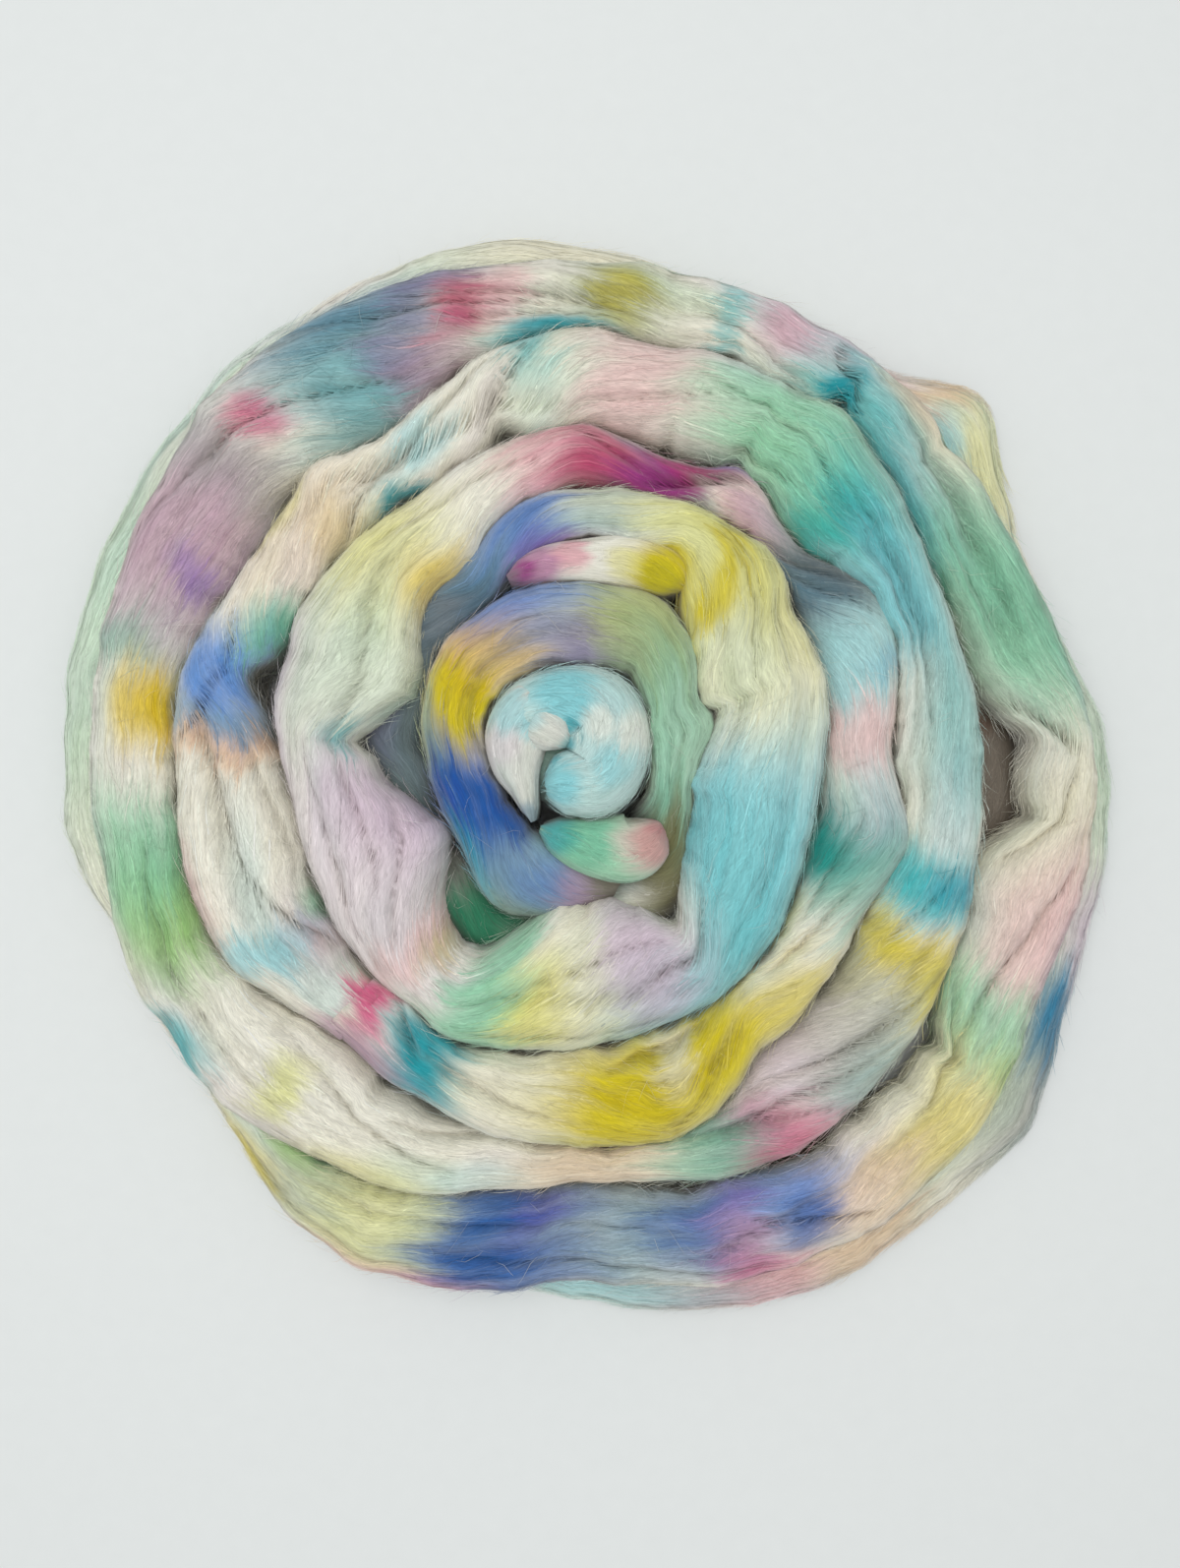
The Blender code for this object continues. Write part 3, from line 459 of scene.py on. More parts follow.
# Smooth unevenness from -1 to 1, in cells of one unit.
def softNoise(u, v, layer):
    u = np.asarray(u, float) + 37.37 * layer
    v = np.asarray(v, float) + 91.73 * layer
    i, j = np.floor(u).astype(int), np.floor(v).astype(int)
    fu, fv = u - i, v - j
    fu, fv = fu * fu * (3 - 2 * fu), fv * fv * (3 - 2 * fv)
    a, b = noiseTable[i % 256, j % 256], noiseTable[(i + 1) % 256, j % 256]
    c, d = noiseTable[i % 256, (j + 1) % 256], noiseTable[(i + 1) % 256, (j + 1) % 256]
    return 2 * ((a * (1 - fu) + b * fu) * (1 - fv) + (c * (1 - fu) + d * fu) * fv) - 1


def smoothStep(low, high, x):
    t = np.clip((x - low) / (high - low), 0, 1)
    return t * t * (3 - 2 * t)


# A smooth curve through a table's column.
def smoothBetween(keys, values, at):
    keys, values, at = (np.asarray(a, float) for a in (keys, values, at))
    slopes = np.gradient(values, keys)
    i = np.clip(np.searchsorted(keys, at) - 1, 0, len(keys) - 2)
    span = keys[i + 1] - keys[i]
    t = (at - keys[i]) / span
    return (
        (2 * t**3 - 3 * t**2 + 1) * values[i]
        + (t**3 - 2 * t**2 + t) * span * slopes[i]
        + (3 * t**2 - 2 * t**3) * values[i + 1]
        + (t**3 - t**2) * span * slopes[i + 1]
    )


# A grid's values between its rows and columns.
def sample(grid, row, column):
    rows, columns = grid.shape[:2]
    row = np.clip(row, 0, rows - 1.001)
    column = np.clip(column, 0, columns - 1.001)
    i, j = row.astype(int), column.astype(int)
    fr, fc = (row - i)[..., None], (column - j)[..., None]
    before = grid[i, j] * (1 - fr) + grid[i + 1, j] * fr
    after = grid[i, j + 1] * (1 - fr) + grid[i + 1, j + 1] * fr
    return before * (1 - fc) + after * fc


driftHours = np.linspace(5.0, 79.0, 1481)
driftTotal = np.cumsum(np.interp(driftHours, leanHour, leanSlope)) * 0.05


# How far across the strand the fibres have moved by this hour.
def drift(hour):
    return np.interp(hour, driftHours, driftTotal)


# -1 at the inner edge and 1 at the outer edge, from the angle round a section.
def acrossAt(angle):
    return 1 - 2 * angle / math.pi


# Angles round a section: 0 at the outer side, pi / 2 on top and pi at the inner side.
def ringAngles(topSteps, footSteps):
    low = strand["edgeAngle"]
    top = np.linspace(-low, math.pi + low, topSteps, endpoint=False)
    foot = np.linspace(math.pi + low, 2 * math.pi - low, footSteps, endpoint=False)
    return np.concatenate([top, foot])


# Across and up of every section (rows) at every angle (columns).
def sectionShape(halfWidth, top, under, angles, lowering):
    half, top, under = (np.asarray(a, float)[:, None] for a in (halfWidth, top, under))
    crown = np.clip(2 * half * strand["crownShare"], strand["crownLeast"], strand["crownMost"])
    crown = np.minimum(crown, 0.6 * (top - under))
    widest = top - crown
    foot = widest - under + strand["settle"]
    c, s = np.cos(angles)[None, :], np.sin(angles)[None, :]
    power = np.where(s > 0, strand["topPower"], strand["footPower"])
    across = np.sign(c) * np.abs(c) ** (2 / power)
    rise = np.abs(s) ** (2 / power)
    # a crease never takes the top below this share of its crown
    crest = widest + rise * np.maximum(crown - lowering(across), 0.22 * crown)
    return across * half, np.maximum(np.where(s > 0, crest, widest - rise * foot), 0.0)


def normalsOf(points):
    along = np.gradient(points, axis=0)
    across = np.roll(points, -1, axis=1) - np.roll(points, 1, axis=1)
    normal = np.cross(across, along)
    return normal / np.maximum(np.linalg.norm(normal, axis=2, keepdims=True), 1e-9)


# Ridges of combed fibre in mm, and how deep in a split between them each point lies, as painted shade for
# the wool's colour. lane is across the fibres and along runs with them. Rounded locks meet in sharp
# valleys that close again.
def combedRelief(lane, along):
    wave = lane + 2.2 * softNoise(along / 24, lane / 18, 1)
    relief = sum(
        height * softNoise(wave / width, along / length, layer)
        for height, width, length, layer in strand["swells"]
    )
    splitShade = 0 * relief
    for height, width, length, layer in strand["locks"]:
        noise = np.abs(softNoise(wave / width, along / length, layer))
        edge = np.minimum(noise / strand["valley"], 1) ** 0.6
        closed = softNoise(wave / (2 * width), along / 45, layer + 1)
        edge = 1 - (1 - edge) * smoothStep(-0.2, 0.6, closed)
        relief += height * (edge - 0.85)
        splitShade = np.maximum(splitShade, (1 - edge) * (0.04 + 0.10 * height))
    return relief, splitShade


# Rows of points round the strand with their relief on, and what the later steps need to know.
def sheafOf(points, relief, paintedGrooveShade, **more):
    relief = relief * smoothStep(1, 9, points[:, :, 2])  # none near the floor
    points = points + normalsOf(points) * relief[:, :, None]
    points[:, :, 2] = np.maximum(points[:, :, 2], 0)
    return {"points": points, "normals": normalsOf(points), "paintedGrooveShade": paintedGrooveShade[:, :, None], **more}


# The winding between two hours, as rows of points round the strand.
def windingSheaf(startHour, endHour, step, topSteps, footSteps):
    fine = np.linspace(startHour, endHour, int((endHour - startHour) * 60) + 1)
    column = {n: [getattr(p, n) for p in places] for n in Place._fields}

    def curve(name, at):
        return smoothBetween(column["hour"], column[name], at)

    middle = (curve("inner", fine) + curve("outer", fine)) / 2
    arcs = np.diff(fine) * math.pi / 6 * (middle[1:] + middle[:-1]) / 2
    travel = np.concatenate([[0], np.cumsum(arcs)])
    along = np.linspace(0, travel[-1], int(travel[-1] / step) + 1)
    hours = np.interp(along, travel, fine)
    inner, outer, top, under = (curve(n, hours) for n in Place._fields[1:])

    def waved(line, rows):
        for height, length, layer in rows:
            line = line + height * softNoise(along / length, 0, layer)
        return line

    inner = waved(inner + strand["inset"], strand["innerWaves"])
    outer = waved(outer - strand["inset"], strand["outerWaves"])
    for n in notches:
        cut = n.cut * np.exp(-(((hours - n.hour) / n.reach) ** 2))
        if n.edge == "inner":
            inner = inner + cut
        else:
            outer = outer - cut
    top = waved(top - strand["inset"], strand["topWaves"])
    half, middle = (outer - inner) / 2, (outer + inner) / 2
    angles = ringAngles(topSteps, footSteps)
    perHour = math.pi / 6 * middle
    paintedGrooveShade = np.zeros((len(hours), len(angles)))

    def lowering(across):
        depth = np.zeros((len(hours), len(angles)))
        for c in creases:
            rows = np.nonzero((hours > c.start) & (hours < c.end))[0]
            if not len(rows):
                continue
            share = ((hours[rows] - c.start) / (c.end - c.start))[:, None]
            line = c.acrossStart + share * (c.acrossEnd - c.acrossStart)
            # the true distance from the crease, which may run steeply across the strand
            wide = half[rows]
            slope = (c.acrossEnd - c.acrossStart) * wide / ((c.end - c.start) * perHour[rows])
            offset = (across[0] - line) * wide[:, None] / np.sqrt(1 + slope**2)[:, None]
            offset = offset / (c.width / 2)
            reach = np.sin(math.pi * share) ** 0.5
            if c.width < strand["sharpFold"]:
                depth[rows] += c.depth * reach * np.exp(-1.3 * np.abs(offset))
                # narrow folds are also painted darker in the wool's colour, as painted shade
                dark = min(c.depth / 6, 1) * reach * np.exp(-1.8 * np.abs(offset))
                paintedGrooveShade[rows] = np.maximum(paintedGrooveShade[rows], dark)
            else:
                depth[rows] += c.depth * reach * np.exp(-(offset**2))
        return depth

    across, up = sectionShape(half, top, np.maximum(under, 0), angles, lowering)
    turned = np.radians(30 * hours)[:, None]
    radius = middle[:, None] + across
    x0, y0 = strand["centre"]
    points = np.stack([x0 + np.sin(turned) * radius, y0 + np.cos(turned) * radius, up], axis=2)
    lane = strand["laneWidth"] * (acrossAt(angles)[None, :] - drift(hours)[:, None])
    total = along + 26 * startHour  # each stretch starts elsewhere in the noise
    relief, splitShade = combedRelief(lane, total[:, None] + 0 * lane)
    # steeply leaning locks lie flatter
    flatter = 1 + np.interp(hours, leanHour, leanSlope)[:, None] ** 2
    return sheafOf(
        points, relief / flatter, np.maximum(paintedGrooveShade, splitShade / flatter), hours=hours, angles=angles,
        topSteps=topSteps, along=total, perHour=perHour, lane=lane, fold=None,
    )


# A short fold of strand that lies on the turns.
def foldSheaf(fold, step, topSteps, footSteps):
    x, y, width, top = zip(*fold["stops"])
    path = np.concatenate([[0], np.cumsum(np.hypot(np.diff(x), np.diff(y)))])
    along = np.linspace(0, path[-1], int(path[-1] / step) + 1)
    cx, cy = smoothBetween(path, x, along), smoothBetween(path, y, along)
    dx, dy = np.gradient(cx), np.gradient(cy)
    length = np.hypot(dx, dy)
    # both ends are rounded off over 5 mm
    ends = np.minimum(1, np.sqrt(np.clip(np.minimum(along, path[-1] - along) / 5, 0.04, 1)))
    half = smoothBetween(path, width, along) / 2 * (0.35 + 0.65 * ends)
    tops = smoothBetween(path, top, along) - strand["inset"] - 5 * (1 - ends)
    angles = ringAngles(topSteps, footSteps)
    across, up = sectionShape(half, tops, 0 * half, angles, lambda a: 0 * a)
    x0, y0 = strand["centre"]
    x = x0 + cx[:, None] - (dy / length)[:, None] * across
    y = y0 + cy[:, None] + (dx / length)[:, None] * across
    points = np.stack([x, y, up], axis=2)
    lane = strand["laneWidth"] * acrossAt(angles)[None, :] + strand["foldSlant"] * along[:, None]
    relief, splitShade = combedRelief(lane * 0.8, foldStart + along[:, None] * 1.5 + 0 * lane)
    # short folds lie smoother
    return sheafOf(
        points, relief * 0.7, splitShade, hours=along, angles=angles, topSteps=topSteps,
        along=along + foldStart, perHour=np.ones(len(along)), lane=lane, fold=fold,
    )


# Linear colour of the wool at grid places (row, column may be fractions): its dye, with painted shade in
# creases, folds and splits multiplied in.
def dyeWithPaintedShade(sheaf, row, column, position, shift, paintedShadeShare):
    rows = np.arange(len(sheaf["hours"]))
    along = np.interp(row, rows, sheaf["along"])
    angle = np.interp(column, np.arange(len(sheaf["angles"])), sheaf["angles"])
    laneAt = strand["laneWidth"] * acrossAt(angle)
    hours = np.interp(row, rows, sheaf["hours"])
    fold = sheaf["fold"]
    streak = laneAt if fold else laneAt - strand["laneWidth"] * drift(hours)
    ragged = shift + sum(
        reach * softNoise(streak / width, along / length, layer)
        for reach, width, length, layer in dyeSpread["ragged"]
    )
    colour = np.tile(dyeColour["undyed"], (len(row), 1))
    warmth = 0.5 + 0.5 * softNoise(streak / 12, along / 90, 23)
    colour += (warmth * dyeSpread["creamShare"])[:, None] * (dyeColour["cream"] - colour)
    for tint, layer in dyeSpread["washed"]:
        washed = smoothStep(0.0, 0.8, softNoise(streak / 16, along / 50, layer))
        colour += (dyeSpread["washedShare"] * washed)[:, None] * (dyeColour[tint] - colour)
    if fold:
        name, share = fold["base"]
        colour += share * (dyeColour[name] - colour)
        x, y = position[:, 0] - strand["centre"][0], position[:, 1] - strand["centre"][1]
        for spotX, spotY, radius, name, strength in fold["spots"]:
            gone = np.hypot(x - spotX + 0.4 * ragged, y - spotY + 0.25 * ragged)
            share = strength * (1 - smoothStep(*dyeSpread["spotFade"], gone / radius))
            colour += share[:, None] * (dyeColour[name] - colour)
    else:
        across = laneAt / strand["laneWidth"]
        perHour = np.interp(row, rows, sheaf["perHour"])
        wander = dyeSpread["wander"] * softNoise(streak / 9, along / 30, 24)
        for d in dyeing:
            # a patch has faded out within this reach
            near = np.nonzero(np.abs(hours - d.hour) * perHour < 2.0 * d.along + 10)[0]
            if not len(near):
                continue
            gone = ((hours[near] - d.hour) * perHour[near] + ragged[near]) / d.along
            off = (across[near] - d.across + wander[near]) / d.wide
            share = d.strength * (1 - smoothStep(*dyeSpread["patchFade"], np.sqrt(gone**2 + off**2)))
            share *= 0.92 + 0.08 * softNoise(streak[near] / 2.5, along[near] / 60, 25)
            colour[near] += share[:, None] * (dyeColour[d.colour] - colour[near])
    colour += dyeSpread["vivid"] * (colour - colour.mean(axis=1, keepdims=True))
    colour *= (1 + dyeSpread["streaky"] * softNoise(streak / 1.3, along / 55, 26))[:, None]
    # painted shade: darker where little sky is seen past the neighbours and in folds and splits, and
    # warmed there
    sky, paintedGrooveShade = (sample(sheaf[grid], row, column) for grid in ("sky", "paintedGrooveShade"))
    lit = smoothStep(0.0, skyShade["open"], sky) * (1 - skyShade["grooveShade"] * np.clip(paintedGrooveShade, 0, 1))
    lit = 1 - paintedShadeShare * (1 - lit)
    colour *= skyShade["creaseShadeColour"] + lit * (1 - skyShade["creaseShadeColour"])
    return np.clip(colour, 0.004, 0.95)


# Numbers of the points, as a grid, and the quads between them.
def ringQuads(rows, columns, first=0):
    index = np.arange(rows * columns).reshape(rows, columns) + first
    around = np.roll(index, -1, axis=1)
    return index, np.stack([index[:-1], around[:-1], around[1:], index[1:]], axis=2).reshape(-1, 4)


# The share of the light from above that each part of the strand gets past its neighbours, kept for
# painting shade into the wool's colour.
def lookUp(sheaves):
    vertices, quads, first = [], [], 0
    for sheaf in sheaves:
        rows, columns = sheaf["points"].shape[:2]
        quads.append(ringQuads(rows, columns, first)[1])
        vertices.append(sheaf["points"].reshape(-1, 3))
        first += rows * columns
    tree = BVHTree.FromPolygons(np.concatenate(vertices).tolist(), np.concatenate(quads).tolist())
    ways = []
    for ring, count in skyShade["rings"]:
        for k in range(count):
            turned, lean = 2 * math.pi * (k + ring / 40) / count, math.radians(ring)
            aside = math.sin(lean)
            ways.append((aside * math.cos(turned), aside * math.sin(turned), math.cos(lean)))
    for sheaf in sheaves:
        points, normals = sheaf["points"], sheaf["normals"]
        rows, columns = points.shape[:2]
        rowPicks = np.unique(np.append(np.arange(0, rows, skyShade["rowStep"]), rows - 1))
        columnPicks = np.unique(np.append(np.arange(0, columns, skyShade["columnStep"]), columns - 1))
        found = np.zeros((len(rowPicks), len(columnPicks)))
        for i, r in enumerate(rowPicks):
            for j, c in enumerate(columnPicks):
                start = (points[r, c] + skyShade["start"] * normals[r, c]).tolist()
                facing = [way for way in ways if np.dot(way, normals[r, c]) > skyShade["clear"]]
                seen = sum(tree.ray_cast(start, way, skyShade["sight"])[0] is None for way in facing)
                found[i, j] = seen / max(len(facing), 3)
        # evened out, so that a thin split doesn't darken in dashes
        for grid in (found, found.T, found):
            padded = np.pad(grid, ((1, 1), (0, 0)), "edge")
            grid[:] = 0.5 * grid + 0.25 * (padded[2:] + padded[:-2])
        sky = np.stack([np.interp(np.arange(rows), rowPicks, line) for line in found.T], axis=1)
        sky = np.stack([np.interp(np.arange(columns), columnPicks, line) for line in sky])
        sheaf["sky"] = sky[:, :, None]


def addObject(name, data):
    made = bpy.data.objects.new(name, data)
    bpy.context.scene.collection.objects.link(made)
    return made


# One joined mesh with its dye and painted shade as one colour, and its combing directions. vertices are
# in mm.
def addMesh(name, vertices, faces, colours, combing, material):
    mesh = bpy.data.meshes.new(name)
    mesh.vertices.add(len(vertices))
    mesh.vertices.foreach_set("co", (vertices * mm).astype(np.float32).ravel())
    mesh.loops.add(faces.size)
    mesh.loops.foreach_set("vertex_index", faces.ravel().astype(np.int32))
    mesh.polygons.add(len(faces))
    mesh.polygons.foreach_set("loop_start", np.arange(0, faces.size, 4, dtype=np.int32))
    mesh.update(calc_edges=True)
    mesh.polygons.foreach_set("use_smooth", np.ones(len(faces), bool))
    dyeAndShade = mesh.color_attributes.new("dyeAndShade", "FLOAT_COLOR", "POINT")
    opaque = np.hstack([colours, np.ones((len(colours), 1))])
    dyeAndShade.data.foreach_set("color", opaque.astype(np.float32).ravel())
    layer = mesh.uv_layers.new(name="combing")
    layer.data.foreach_set("uv", combing[faces.ravel()].astype(np.float32).ravel())
    mesh.materials.append(material)
    mesh.validate()
    made = addObject(name, mesh)
    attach(made, "root")
    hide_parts("roving")


# The strand's own surface, closed at both ends.
def sheafBody(name, sheaf, material):
    rows, columns = sheaf["points"].shape[:2]
    index, quads = ringQuads(rows, columns)
    ends = []
    # each end is closed by quads across the ring
    for ring, flip in ((index[0], False), (index[-1], True)):
        for k in range(columns // 2 - 1):
            quad = [ring[k], ring[columns - 1 - k], ring[columns - 2 - k], ring[k + 1]]
            ends.append(quad[::-1] if flip else quad)
    row, column = (grid.ravel().astype(float) for grid in np.indices((rows, columns)))
    points = sheaf["points"].reshape(-1, 3)
    colours = dyeWithPaintedShade(sheaf, row, column, points, 0.0, 1.0)
    combing = np.stack([sheaf["lane"].ravel(), np.repeat(sheaf["along"], columns)], axis=1) / combUnit
    addMesh(name, points, np.concatenate([quads, ends]), colours, combing, material)


# Rows and columns spread evenly over the upper surface, or drawn towards its edges.
def startPlaces(sheaf, count, rng, edgeShare):
    points = sheaf["points"][:, : sheaf["topSteps"] + 1]
    corner = points[:-1, :-1]
    area = np.linalg.norm(np.cross(points[1:, :-1] - corner, points[:-1, 1:] - corner), axis=2)
    if edgeShare:
        away = np.abs(np.linspace(-1, 1, area.shape[1]))[None, :]
        area = area * (1 - edgeShare + edgeShare * 3 * away**4)
    chosen = rng.choice(area.size, count, p=(area / area.sum()).ravel())
    row, column = np.divmod(chosen, area.shape[1])
    return row + rng.random(count), column + rng.random(count)


# Locks of combed fibre laid along the strand, as thin tapered ribbons joined in one mesh.
def fibreRibbons(name, sheaf, look, count, seed, material):
    rng = np.random.default_rng(seed)
    knots, wander = look["knots"], look["wander"]
    rows = np.arange(len(sheaf["hours"]))
    row0, column0 = startPlaces(sheaf, count, rng, look["edgeShare"])
    if "wisps" in look:
        starts, ends, reaches, shares = np.array(look["wisps"]).T
        chosen = rng.choice(len(shares), count, p=shares / shares.sum())
        starts, ends, reaches = starts[chosen], ends[chosen], reaches[chosen]
        row0 = np.interp(starts + (ends - starts) * rng.random(count), sheaf["hours"], rows)
        column0 = rng.uniform(1, 11, count)  # on the outer side
    length = rng.uniform(*look["length"], count)[:, None]
    t = np.linspace(-0.5, 0.5, knots)[None, :]
    along = np.interp(row0, rows, sheaf["along"])[:, None] + t * length
    row = np.interp(along, sheaf["along"], rows)
    hours0, hours = np.interp(row0, rows, sheaf["hours"]), np.interp(row, rows, sheaf["hours"])
    columns = np.arange(len(sheaf["angles"]))
    angle0 = np.interp(column0, columns, sheaf["angles"])[:, None]
    if sheaf["fold"]:
        lean = -strand["foldSlant"] / strand["laneWidth"] * t * length
    else:
        lean = drift(hours) - drift(hours0)[:, None]
    bend = rng.normal(0, wander, count)[:, None] * (t * 2)
    bend = bend + rng.normal(0, wander * 0.7, count)[:, None] * (1 - (2 * t) ** 2)
    angle = (1 - (acrossAt(angle0) + lean + bend)) * math.pi / 2
    # never under the foot
    angle = np.clip(angle, sheaf["angles"][0] + 0.02, sheaf["angles"][sheaf["topSteps"]] - 0.02)
    column = np.interp(angle, sheaf["angles"], columns)
    centre = sample(sheaf["points"], row, column)
    normal = sample(sheaf["normals"], row, column)
    normal /= np.linalg.norm(normal, axis=2, keepdims=True)
    rise = rng.uniform(*look["lift"], count)[:, None]
    # both ends sink into the strand, except where a fibre flies free
    profile = rise * (1 - np.abs(2 * t) ** 3) - 0.15
    if "fly" in look:
        loose = rng.random(count) ** 2 * look["fly"]
        profile = profile + loose[:, None] * np.clip(t + 0.5, 0, 1) ** 1.6
    centre = centre + normal * profile[:, :, None]
    if "wisps" in look:
        out = np.stack([np.sin(np.radians(30 * hours)), np.cos(np.radians(30 * hours))], axis=2)
        spread = reaches * rng.random(count) ** 1.5
        centre[:, :, :2] += out * (spread[:, None] * (1 + 0.5 * t))[:, :, None]
        centre[:, :, 2] *= 1 - 0.75 * (spread / reaches)[:, None]  # wisps lie low
    way = np.gradient(centre, axis=1)
    if "fly" in look:
        tip = (np.clip(t + 0.5, 0, 1) ** 1.4)[:, :, None]
        centre += rng.normal(0, look["fly"] * 0.35, (count, 1, 3)) * tip
        normal = normal + np.array([0, 0, look["skyward"]])  # a loose fibre shows its lit side
    sideways = np.cross(way, normal)
    sideways /= np.maximum(np.linalg.norm(sideways, axis=2, keepdims=True), 1e-9)
    width = rng.uniform(*look["width"], count)[:, None] * np.clip(1 - np.abs(2 * t) ** 2.5, 0.06, 1)
    half = sideways * width[:, :, None] / 2
    vertices = np.stack([centre - half, centre + half], axis=2)
    vertices[..., 2] = np.maximum(vertices[..., 2], 0.05)
    shift = np.repeat(rng.normal(0, look["colourShift"], count), knots)
    colours = dyeWithPaintedShade(sheaf, row.ravel(), column.ravel(), centre.reshape(-1, 3), shift, look["paintedShadeShare"])
    shade = np.exp(rng.normal(0, look["shade"], count))
    pale = rng.random(count) ** 3 * look["pale"]
    colours = colours.reshape(count, knots, 3) * shade[:, None, None]
    colours += pale[:, None, None] * (dyeColour["undyed"] - colours)
    colours = np.clip(np.repeat(colours.reshape(-1, 3), 2, axis=0), 0.005, 0.95)
    index = np.arange(count * knots * 2).reshape(count, knots, 2)
    quads = np.stack([index[:, :-1, 0], index[:, :-1, 1], index[:, 1:, 1], index[:, 1:, 0]], axis=2)
    # 3 lanes of scatter, so that neighbours don't share their streaks
    lane = sample(sheaf["lane"][:, :, None], row, column)[..., 0] + rng.normal(0, 3, count)[:, None]
    edges = np.stack([lane - width / 2, lane + width / 2], axis=2)
    combing = np.stack([edges.ravel(), np.repeat(along.ravel(), 2)], axis=1) / combUnit
    addMesh(name, vertices.reshape(-1, 3), quads.reshape(-1, 4), colours, combing, material)


# Adds a node, sets it up and links its inputs from (node, output) pairs.
def addNode(tree, kind, settings=None, inputs=None, links=None):
    node = tree.nodes.new("ShaderNode" + kind)
    for name, value in (settings or {}).items():
        setattr(node, name, value)
    for name, value in (inputs or {}).items():
        node.inputs[name].default_value = value
    for name, (source, output) in (links or {}).items():
        tree.links.new(source.outputs[output], node.inputs[name])
    return node


# Dyed combed wool top: matt, with a soft bloom of fibre ends at its edges
woolLook = {
    "roughness": 0.9,
    "ior": 1.55,  # keratin
    "specular": 0.2,
    "sheen": 0.3,
    "sheenRoughness": 0.6,
    "fibreWidth": 0.5,  # mm. A merino fibre is 0.02 mm, too fine to show, so a small lock is drawn
    "fibreLength": 8.0,  # mm that one streak keeps its shade
    # degrees that a layer of fibres lies off the combing, and how much coarser it is
    "layers": ((0.0, 1.0), (9.0, 1.3), (-14.0, 0.8)),
    "crimp": 7.0,  # mm from wave to wave
    "crimpSway": 1.2,  # mm
    "deepFibreShade": 0.66,  # painted shade of the fibres that lie deep and painted light of those on top, over a random fibre tone
    "topFibreLight": 1.15,
    "bumpHeight": 0.25,  # mm
}


def newMaterial(name):
    material = bpy.data.materials.new(name)
    material.use_nodes = True
    return material, material.node_tree, material.node_tree.nodes["Principled BSDF"]


def dyedCombedWool():
    material, tree, shader = newMaterial("dyedCombedWool")
    dyeAndShade = addNode(tree, "Attribute", {"attribute_name": "dyeAndShade"})
    combing = addNode(tree, "UVMap", {"uv_map": "combing"})
    flat = {"noise_dimensions": "2D"}
    crimp = {"Scale": combUnit / woolLook["crimp"], "Detail": 1.0}
    wave = addNode(tree, "TexNoise", flat, crimp, {"Vector": (combing, "UV")})
    sway = addNode(
        tree, "VectorMath", {"operation": "MULTIPLY_ADD"}, {1: (woolLook["crimpSway"] / combUnit, 0, 0)},
        {0: (wave, "Color"), 2: (combing, "UV")},
    )
    across, along = combUnit / woolLook["fibreWidth"], combUnit / woolLook["fibreLength"]
    layers = []
    for lean, coarser in woolLook["layers"]:
        turn = {"Rotation": (0, 0, math.radians(lean))}
        turned = addNode(tree, "Mapping", {}, turn, {"Vector": (sway, "Vector")})
        scale = (across / coarser, along / coarser, 1)
        place = addNode(tree, "Mapping", {}, {"Scale": scale}, {"Vector": (turned, "Vector")})
        grain = {"Scale": 1.0, "Detail": 2.0, "Roughness": 0.6}
        layers.append(addNode(tree, "TexNoise", flat, grain, {"Vector": (place, "Vector")}))
    # the mean of the three layers
    pair = addNode(tree, "Math", {"operation": "ADD"}, {}, {0: (layers[0], "Fac"), 1: (layers[1], "Fac")})
    third = addNode(tree, "Math", {"operation": "MULTIPLY"}, {1: 0.33}, {0: (layers[2], "Fac")})
    fibres = addNode(
        tree, "Math", {"operation": "MULTIPLY_ADD"}, {1: 0.33}, {0: (pair, "Value"), 2: (third, "Value")}
    )
    # fibres that lie deep are painted darker and those on top lighter: painted shade and light over their
    # random tone
    shade = addNode(
        tree, "MapRange", {},
        {"From Min": 0.3, "From Max": 0.7, "To Min": woolLook["deepFibreShade"], "To Max": woolLook["topFibreLight"]},
        {"Value": (fibres, "Value")},
    )
    tint = {0: (dyeAndShade, "Color"), "Scale": (shade, "Result")}
    tinted = addNode(tree, "VectorMath", {"operation": "SCALE"}, {}, tint)
    relief = {"Strength": 1.0, "Distance": woolLook["bumpHeight"] * mm}
    bump = addNode(tree, "Bump", {}, relief, {"Height": (fibres, "Value")})
    tree.links.new(tinted.outputs["Vector"], shader.inputs["Base Color"])
    tree.links.new(bump.outputs["Normal"], shader.inputs["Normal"])
    for socket, value in (
        ("Roughness", "roughness"), ("IOR", "ior"), ("Specular IOR Level", "specular"),
        ("Sheen Weight", "sheen"), ("Sheen Roughness", "sheenRoughness"),
    ):
        shader.inputs[socket].default_value = woolLook[value]
    return material


wool = dyedCombedWool()

# mm between sections, and steps over the top and under the foot of each section
bodyDetail = {"inner": (3.2, 56, 14), "outer": (3.8, 56, 14), "fold": (1.3, 40, 10)}

sheaves = {
    "innerTurns": windingSheaf(5.5, 43.5, *bodyDetail["inner"]),
    "outerTurns": windingSheaf(43.4, 78.4, *bodyDetail["outer"]),
}
for name, fold in folds.items():
    sheaves[name] = foldSheaf(fold, *bodyDetail["fold"])
lookUp(list(sheaves.values()))
for name, sheaf in sheaves.items():
    sheafBody(name, sheaf, wool)
print("strand bodies laid:", len(sheaves))

